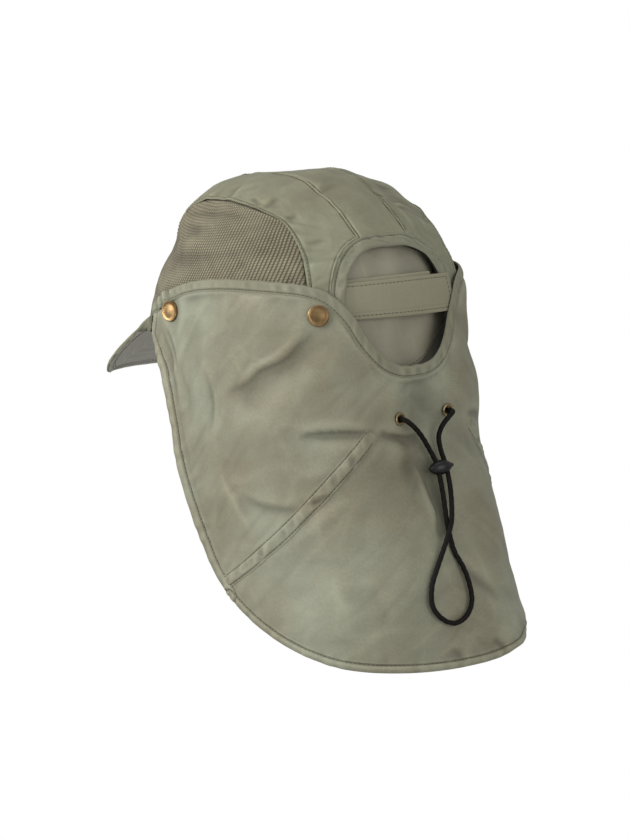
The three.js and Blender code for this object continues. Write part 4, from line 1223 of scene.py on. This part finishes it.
# Cape
# One large piece of light cloth that hangs from four snaps round the crown and flares over the
# neck. Its front and lower edges are turned in and stitched, and its top edge is bound.
CAPE_BINDING = 6.5
FRONT_HEM = 7.4
LOWER_HEM = 5.5
SNAPS = [
    # name, turn, height
    ("front_left", 103, 13.2), ("rear_left", 31.5, 9), ("rear_right", -57, 11), ("front_right", -103, 13.2),
]
SNAP_LEAN = 0.42
SNAP_HOLD = 10
SNAP_PRESS = 0.8
# Beside the front snaps the cloth is gathered, and the front edges stand off by this much.
GATHER_DEPTH = 1.8
FRONT_STAND = 2.6
# The cape's edges from the middle of the back to the left: turns and heights.
TOP_EDGE = [
    (0, -26), (5, -25.3), (9.5, -21.5), (13.5, -13.5), (16.5, -5), (19, 4), (22.5, 13), (28, 22), (35, 27),
    (54, 31.5), (69, 33), (85, 32), (103, 27), (113, 22), (121, 16),
]
FRONT_EDGE = [
    (122.5, -4), (116.5, -16), (109, -31), (104, -50), (99.5, -76), (94.5, -97), (87.5, -118), (77, -146),
    (68, -162),
]
HEM_EDGE = [(60, -173), (51, -183.5), (41.5, -193), (31, -201), (17, -205.5), (0, -207)]

# Creases of the cape: width, depth inwards, then the turns and heights that they run through.
CAPE_CREASES = [
    (3.6, 0.8, [(30, 2), (42, -14), (54, -26), (70, -40)]),
    (3.4, -0.6, [(36, 2), (47, -14), (60, -27)]),
    (3.6, 0.6, [(113, 8), (108, -9), (101, -34), (99, -49)]),
    (2.6, 0.5, [(109, 8), (103, -10), (97, -28)]),
    (9.0, 0.8, [(102, -5), (96, -24), (92, -42), (89, -61)]),
    (2.3, 1.3, [(41, -64), (30, -62), (18, -63), (15, -61)]),
    (2.3, 1.5, [(14, -61), (11, -66), (5, -70), (-1, -71), (-4, -67)]),
    (3.2, 1.7, [(-1, -84), (-3, -92), (-3, -106), (-2, -118), (0, -132)]),
    (3.0, 0.5, [(64, -99), (54, -105), (44, -107), (37, -105)]),
    (2.6, 0.8, [(41, -104), (35, -102), (31, -96)]),
    (4.4, -0.6, [(74, -80), (66, -102), (58, -126)]),
    (2.4, 0.6, [(4, -194), (1, -206)]),
    (2.4, 0.6, [(-10, -194), (-16, -206)]),
    (9.0, -1.0, [(33, -137), (31, -160), (29, -184)]),
    (5.5, 0.3, [(23, -150), (19, -180)]),
    (4.0, 0.8, [(-2, -145), (-9, -159), (-15, -174)]),
    (3.4, 0.8, [(-36, 0), (-46, -15), (-56, -30)]),
    (3.6, 0.9, [(-112, 8), (-107, -10), (-101, -36)]),
    (3.0, 0.7, [(-44, -66), (-34, -62), (-24, -61)]),
    (3.4, 0.8, [(-70, -92), (-60, -104), (-48, -110)]),
    (5.0, 0.7, [(-30, -140), (-34, -165), (-30, -185)]),
    (4.0, 0.5, [(80, -20), (76, -44), (78, -66)]),
    (4.0, 0.5, [(-84, -24), (-78, -46), (-80, -70)]),
]


def cape_relief(turns, heights):
    """How far the cape's cloth stands out from its hanging shape."""
    flat = on_cloth(turns, heights)
    relief = 2.4 * creases_at(flat, CAPE_CREASES, lambda path: smooth_curve(cloth_points(path), 16))
    spots = np.concatenate([flat, np.zeros(flat.shape[:-1] + (1,))], -1)
    relief += 1.2 * mottle(spots, 44, 81) + 0.6 * mottle(spots, 19, 82) + 0.04 * mottle(spots, 5, 84)
    # Small folds run down and forwards, as the tunnels do.
    aside = np.abs(flat[..., 0])
    folded = np.stack([(aside - flat[..., 1]) / 5, (aside + flat[..., 1]) / 1.4, 0.2 * flat[..., 0]], -1)
    relief += 0.35 * crumple(folded, 19, 83) - 0.25 * crumple(folded, 9, 85) + 0.4 * crumple(spots, 24, 87)
    # The lower right corner is curled and lumpy.
    curl = smoothstep(-heights, 165, 200) * smoothstep(-turns, -20, 25)
    relief = relief + 2.2 * curl * mottle(spots, 15, 86)
    return relief - 4.5 * swell(turns, -38, 14) * swell(heights, -200, 10)


def snap_lean(turn):
    """How steeply the cape turns back at a snap. It does so at the two in front only."""
    return math.copysign(SNAP_LEAN, turn) if abs(turn) > 90 else 0


def pressed_at_snaps(turns, heights, relief):
    """The relief, held in round each snap and turned back with the two snaps at the front."""
    for _, turn, height in SNAPS:
        beside = (turns - turn) * CAPE_MM_PER_DEGREE
        hold = swell(beside, 0, SNAP_HOLD) * swell(heights, height, SNAP_HOLD)
        relief = blend(relief, snap_lean(turn) * beside - SNAP_PRESS, hold)
    return relief


def cape_normals(turns, heights):
    """The outward directions of the hanging cape."""
    here = round_head(turns, heights, CAPE_EASE, True)
    beside = round_head(turns + 0.5, heights, CAPE_EASE, True) - here
    above = round_head(turns, heights + 0.5, CAPE_EASE, True) - here
    return unit(np.cross(above, beside))


def on_cape(turns, heights, out=0.0):
    """Points a distance outside the cape's outer face."""
    return (round_head(turns, heights, CAPE_EASE, True)
            + cape_normals(turns, heights) * np.asarray(out)[..., None])


def mirrored(rows):
    return [(-turn, height) for turn, height in rows]


top_line = smooth_curve(cloth_points(TOP_EDGE[::-1] + mirrored(TOP_EDGE)[1:]), 1200)
top_way = unit(np.gradient(top_line, axis=0))
top_inward = np.stack([-top_way[:, 1], top_way[:, 0]], -1)


def read_evenly(rows, shares):
    """Rows read at shares, from 0 to 1, of their count."""
    return read_rows(shares, np.linspace(0, 1, len(rows)), rows)


def inside_top_edge(shares, distance):
    """Places on the flat cape, a distance inside its top edge."""
    return read_along(top_line, shares) + read_evenly(top_inward, shares) * np.asarray(distance)[..., None]


def spot_on_cape(turn, height, out=0.0):
    """A place on the cape and the cape's outward direction there."""
    turn, height = np.array(turn), np.array(height)
    return on_cape(turn, height, out), cape_normals(turn, height)


below = CAPE_BINDING + GAP
front_left = smooth_curve(np.vstack([inside_top_edge([0.0], [below]), cloth_points(FRONT_EDGE)]))
front_right = smooth_curve(np.vstack([inside_top_edge([1.0], [below]), cloth_points(mirrored(FRONT_EDGE))]))
hem_rows_flat = [FRONT_EDGE[-1]] + HEM_EDGE + mirrored(HEM_EDGE)[::-1][1:] + mirrored([FRONT_EDGE[-1]])
hem_line = smooth_curve(cloth_points(hem_rows_flat))
u, v = uneven(0, 14, 0.024, 271, 0.976, 14, 1), uneven(0, 14, 0.05, 118, 0.988, 3, 1)
turns, heights = off_cloth(fill_between(
    read_along(hem_line, u), inside_top_edge(u, below),
    read_along(front_left, 1 - v), read_along(front_right, 1 - v), u, v))
plain = on_cape(turns, heights)


def to_line(points, line):
    """Each point's distance from a line, and how far along the line it is nearest."""
    flat_points = points.reshape(-1, 3)
    away, where = np.empty(len(flat_points)), np.empty(len(flat_points))
    run = run_of(line)
    for start in range(0, len(flat_points), 4000):
        part = flat_points[start:start + 4000]
        gaps = np.linalg.norm(part[:, None] - line[None], axis=-1)
        nearest = gaps.argmin(axis=1)
        away[start:start + 4000] = gaps[np.arange(len(part)), nearest]
        where[start:start + 4000] = run[nearest]
    return away.reshape(points.shape[:2]), where.reshape(points.shape[:2])


to_left, left_run = to_line(plain, read_along(plain[0], np.linspace(0, 1, 500)))
to_right_edge, right_run = to_line(plain, read_along(plain[-1], np.linspace(0, 1, 500)))
to_hem, hem_run = to_line(plain, read_along(plain[:, 0], np.linspace(0, 1, 900)))
to_front = np.minimum(to_left, to_right_edge)
front_run = np.where(to_left < to_right_edge, left_run, right_run + 1000)
band = np.maximum(1 - smoothstep(to_front, FRONT_HEM - 0.5, FRONT_HEM + 0.5),
                  1 - smoothstep(to_hem, LOWER_HEM - 0.5, LOWER_HEM + 0.5))
groove = swell(to_front, FRONT_HEM - 1.3, 0.7) + swell(to_hem, LOWER_HEM - 1.2, 0.7)
tube = np.maximum(np.sin(np.pi * np.clip(to_front / (FRONT_HEM - 1), 0, 1)),
                  np.sin(np.pi * np.clip(to_hem / (LOWER_HEM - 1), 0, 1)))
edge_run = np.where(to_hem < to_front, hem_run + 2000, front_run)
near_edge = np.minimum(to_front / FRONT_HEM, to_hem / LOWER_HEM)
pucker = 0.5 * puckers(edge_run, near_edge * 6, 5, 91) * swell(near_edge, 0, 1.6)
to_top = from_edges(plain, "t")
relief = cape_relief(turns, heights) * smoothstep(to_top, 0.5, 4) + pucker
# The front edges stand a little away from the neck.
stand = smoothstep(-heights, 0, 25) * smoothstep(heights, -160, -120)
relief = relief + FRONT_STAND * stand * (1 - smoothstep(to_front, 0, 11))
gathered = swell(np.abs(turns), 108, 8) * swell(to_top, 0, 2.5)
cape_outer = on_cape(turns, heights, pressed_at_snaps(turns, heights, relief) - GATHER_DEPTH * gathered)
# Its inside gets painted shade, most near its top at the back and sides, for the shade of the crown round the
# opening.
dim = 0.18 + 0.85 * smoothstep(heights, -80, -48) * smoothstep(-np.abs(turns), -95, -80)
cape, cape_face, cape_out_way = cloth_piece(
    "neck_cape_cloth", cape_outer, CLOTH, raised=0.3 * band + 0.7 * tube - 0.75 * np.minimum(groove, 1),
    shade=dim.ravel())
# The name, turn and height of each eyelet, for which a hole is punched.
EYELETS = [("eyelet_left", 6.3, -57.5), ("eyelet_right", -15, -56.4)]
EYELET_HOLE = 3.4
cut_away(cape, [turned("punch", rod(EYELET_HOLE, 6), 32, *spot_on_cape(turn, height))
                for _, turn, height in EYELETS])
fit_piece(cape, cape_finish, "cape_cloth", "neck_cape")


def row_at(face, normals, distance, depth, axis, from_start, others):
    """The line on a grid that lies a depth inside an edge, where it is clear of other edges."""
    if axis == 1:
        face, normals = np.swapaxes(face, 0, 1), np.swapaxes(normals, 0, 1)
        distance, others = distance.T, others.T
    if not from_start:
        face, normals, distance, others = face[::-1], normals[::-1], distance[::-1], others[::-1]
    line, up = [], []
    for j in range(face.shape[1]):
        k = int(np.argmax(distance[:, j] >= depth))
        if k == 0 or others[k, j] < 2:
            continue
        t = (depth - distance[k - 1, j]) / (distance[k, j] - distance[k - 1, j])
        line.append(blend(face[k - 1, j], face[k, j], t))
        up.append(normals[k, j])
    return np.array(line), np.array(up)


cape_rows = [
    row_at(cape_face, cape_out_way, to_left, FRONT_HEM - 1.3, 0, True, to_hem),
    row_at(cape_face, cape_out_way, to_right_edge, FRONT_HEM - 1.3, 0, False, to_hem),
    row_at(cape_face, cape_out_way, to_hem, LOWER_HEM - 1.2, 1, True, to_front),
]
cape_thread = stitches("cape_hem_stitching", cape_rows)

# The bound top edge is a folded strip round the raw edge, stitched near its lower side.
BINDING_CLOTH = 1.7
u, v = np.linspace(0, 1, 620), np.linspace(0, 1, 13)
turns, heights = off_cloth(inside_top_edge(u[:, None], (CAPE_BINDING + 0.3) * (1 - v)[None]))
plain = on_cape(turns, heights)
run = grid_runs(plain)[0]
pucker = 0.5 * puckers(run, 4 * v[None], 4.2, 92) * np.sin(np.pi * np.clip(v, 0.05, 1))[None]
bound_out = 0.3 + pucker + 0.45 * np.sin(np.pi * v)[None] ** 0.6 - 0.55 * swell(v[None], 0.16, 0.07)
bound_out = bound_out + swell(np.abs(turns), 110, 6) * (2.4 * puckers(run, 2 * v[None], 3.6, 93) + 0.5)
bound_out = pressed_at_snaps(turns, heights, bound_out)
binding, face, normals = cloth_piece("cape_bound_edge", on_cape(turns, heights, bound_out), BINDING_CLOTH,
                                     bulge=0.5, shade=INNER_SHADE)
fit_piece(binding, band_finish, "binding_cloth", "cape_top_binding")
binding_thread = stitches("bound_edge_stitching", [(face[3:-3, 2], normals[3:-3, 2])])


# Drawcord tunnels
# A folded band of the cape's cloth sewn down along both edges on each side, from beside the eyelet
# to the front edge. The drawcord's hidden run lies in it and makes it a little full.
TUNNEL_LINES = [
    # label, then the turns and heights that its middle runs through
    ("left", [(15.5, -62), (26, -83), (37.5, -105), (50, -127.5), (63, -146), (71, -155)]),
    ("right", [(-24, -62), (-34, -83), (-45, -105), (-57, -127.5), (-68, -146), (-73, -152)]),
]
TUNNEL_WIDTH = 8.5
TUNNEL_CLOTH = 0.8
# Its stitches lie on these of the 19 columns across it.
TUNNEL_STITCHES = (2, 16)
tunnels, tunnel_rows = [], []
for label, table in TUNNEL_LINES:
    line = smooth_curve(cloth_points(table))
    u, v = np.linspace(0, 1, 150), np.linspace(0, 1, 19)
    way = unit(read_evenly(np.gradient(line, axis=0), u))
    across = (v - 0.5) * TUNNEL_WIDTH
    aside = np.stack([-way[:, 1], way[:, 0]], -1)[:, None] * across[None, :, None]
    turns, heights = off_cloth(read_along(line, u)[:, None] + aside)
    plain = on_cape(turns, heights)
    run = grid_runs(plain)[0]
    inner = np.sin(np.pi * v)[None]
    full = 0.45 + 0.9 * inner ** 0.8 + 0.5 * inner * mottle(plain, 12, 95)
    full = full + 0.8 * inner * (puckers(run + 7 * v[None], 6 * v[None], 5.5, 97) + crumple(plain, 9, 98))
    full = full - 0.65 * (swell(v[None], 0.1, 0.05) + swell(v[None], 0.9, 0.05))
    # Its upper end fades into the cape, and its lower end runs under the front hem.
    shown = smoothstep(run, 1, 16) * smoothstep(run[-1:] - run, 0, 2)
    full = full * shown - 0.7 * (1 - smoothstep(run, 0, 4)) - 0.9 * (1 - smoothstep(run[-1:] - run, 0, 1.5))
    tunnel, face, normals = cloth_piece(
        f"cord_tunnel_{label}", on_cape(turns, heights, cape_relief(turns, heights) + full), TUNNEL_CLOTH)
    fit_piece(tunnel, cape_finish, "cape_cloth", f"drawcord_channel_{label}")
    tunnels.append(tunnel)
    tunnel_rows += [(face[8:-2, k], normals[8:-2, k]) for k in TUNNEL_STITCHES]
tunnel_thread = stitches("tunnel_stitching", tunnel_rows)


# Snaps and eyelets
# Four brass snap caps are pressed through the cape, each on a low stud between it and the crown,
# and two brass eyelets in the cape let the drawcord through.
EYELET_BORE = 2.4
EYELET_RADIUS = 4.2


def metal_finish(name, bright, dull, scale):
    """Aged plated brass: a warm metal with cloudy tarnish and fine scratches."""
    material, tree, shader = new_material(name, Metallic=1.0)
    place = object_place(tree)
    cloud = noise(tree, scale, 5.0, place, 0.6)
    join(tree, shader, {
        "Base Color": two_tones(tree, cloud, dull, bright, 0.3, 0.7),
        "Roughness": between(tree, cloud, 0.28, 0.5),
        "Normal": bump(tree, noise(tree, 2600.0, 3.0, place), 0.15, 0.00005)})
    return material


snap_finish = metal_finish("aged_brass", paint(171, 142, 102), paint(126, 98, 61), 160.0)
eyelet_finish = metal_finish("dark_brass", paint(196, 176, 132), paint(120, 104, 72), 600.0)
# Radius and height rows, from the underside round to the top.
SNAP_PROFILE = [
    (0, 0), (6.1, 0), (6.5, 0.25), (6.6, 0.6), (6.6, 1.2), (6.45, 1.65), (6.1, 1.9), (5.7, 1.9), (5.3, 1.72),
    (4.8, 1.62), (3.8, 1.68), (2.5, 1.85), (1.2, 1.98), (0, 2.02),
]
EYELET_PROFILE = [
    (EYELET_BORE, -2.2), (EYELET_BORE + 0.2, -2.4), (EYELET_RADIUS, -2.4), (EYELET_RADIUS, -1.8), (3, -1.8),
    (3, 0.6), (EYELET_RADIUS, 0.6), (EYELET_RADIUS, 0.9), (EYELET_RADIUS - 0.25, 1.25),
    (EYELET_RADIUS - 0.7, 1.42), (EYELET_RADIUS - 1.2, 1.38), (EYELET_BORE + 0.15, 1.15), (EYELET_BORE, 0.8),
    (EYELET_BORE, -2.2),
]
SNAP_OUT = -0.7
for name, turn, height in SNAPS:
    place, way = spot_on_cape(turn, height, SNAP_OUT)
    beside, _ = spot_on_cape(turn + 1.0, height, SNAP_OUT)
    cap = turned(f"snap_{name}", SNAP_PROFILE, 64, place, way - snap_lean(turn) * unit(beside - place))
    fit_piece(cap, snap_finish, "snap_metal", f"snap_cap_{name}")
    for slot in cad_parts[f"snap_stud_{name}"].material_slots:
        slot.material = snap_finish
for name, turn, height in EYELETS:
    ring = turned(f"{name}_ring", EYELET_PROFILE, 48, *spot_on_cape(turn, height))
    fit_piece(ring, eyelet_finish, "eyelet_metal", name)
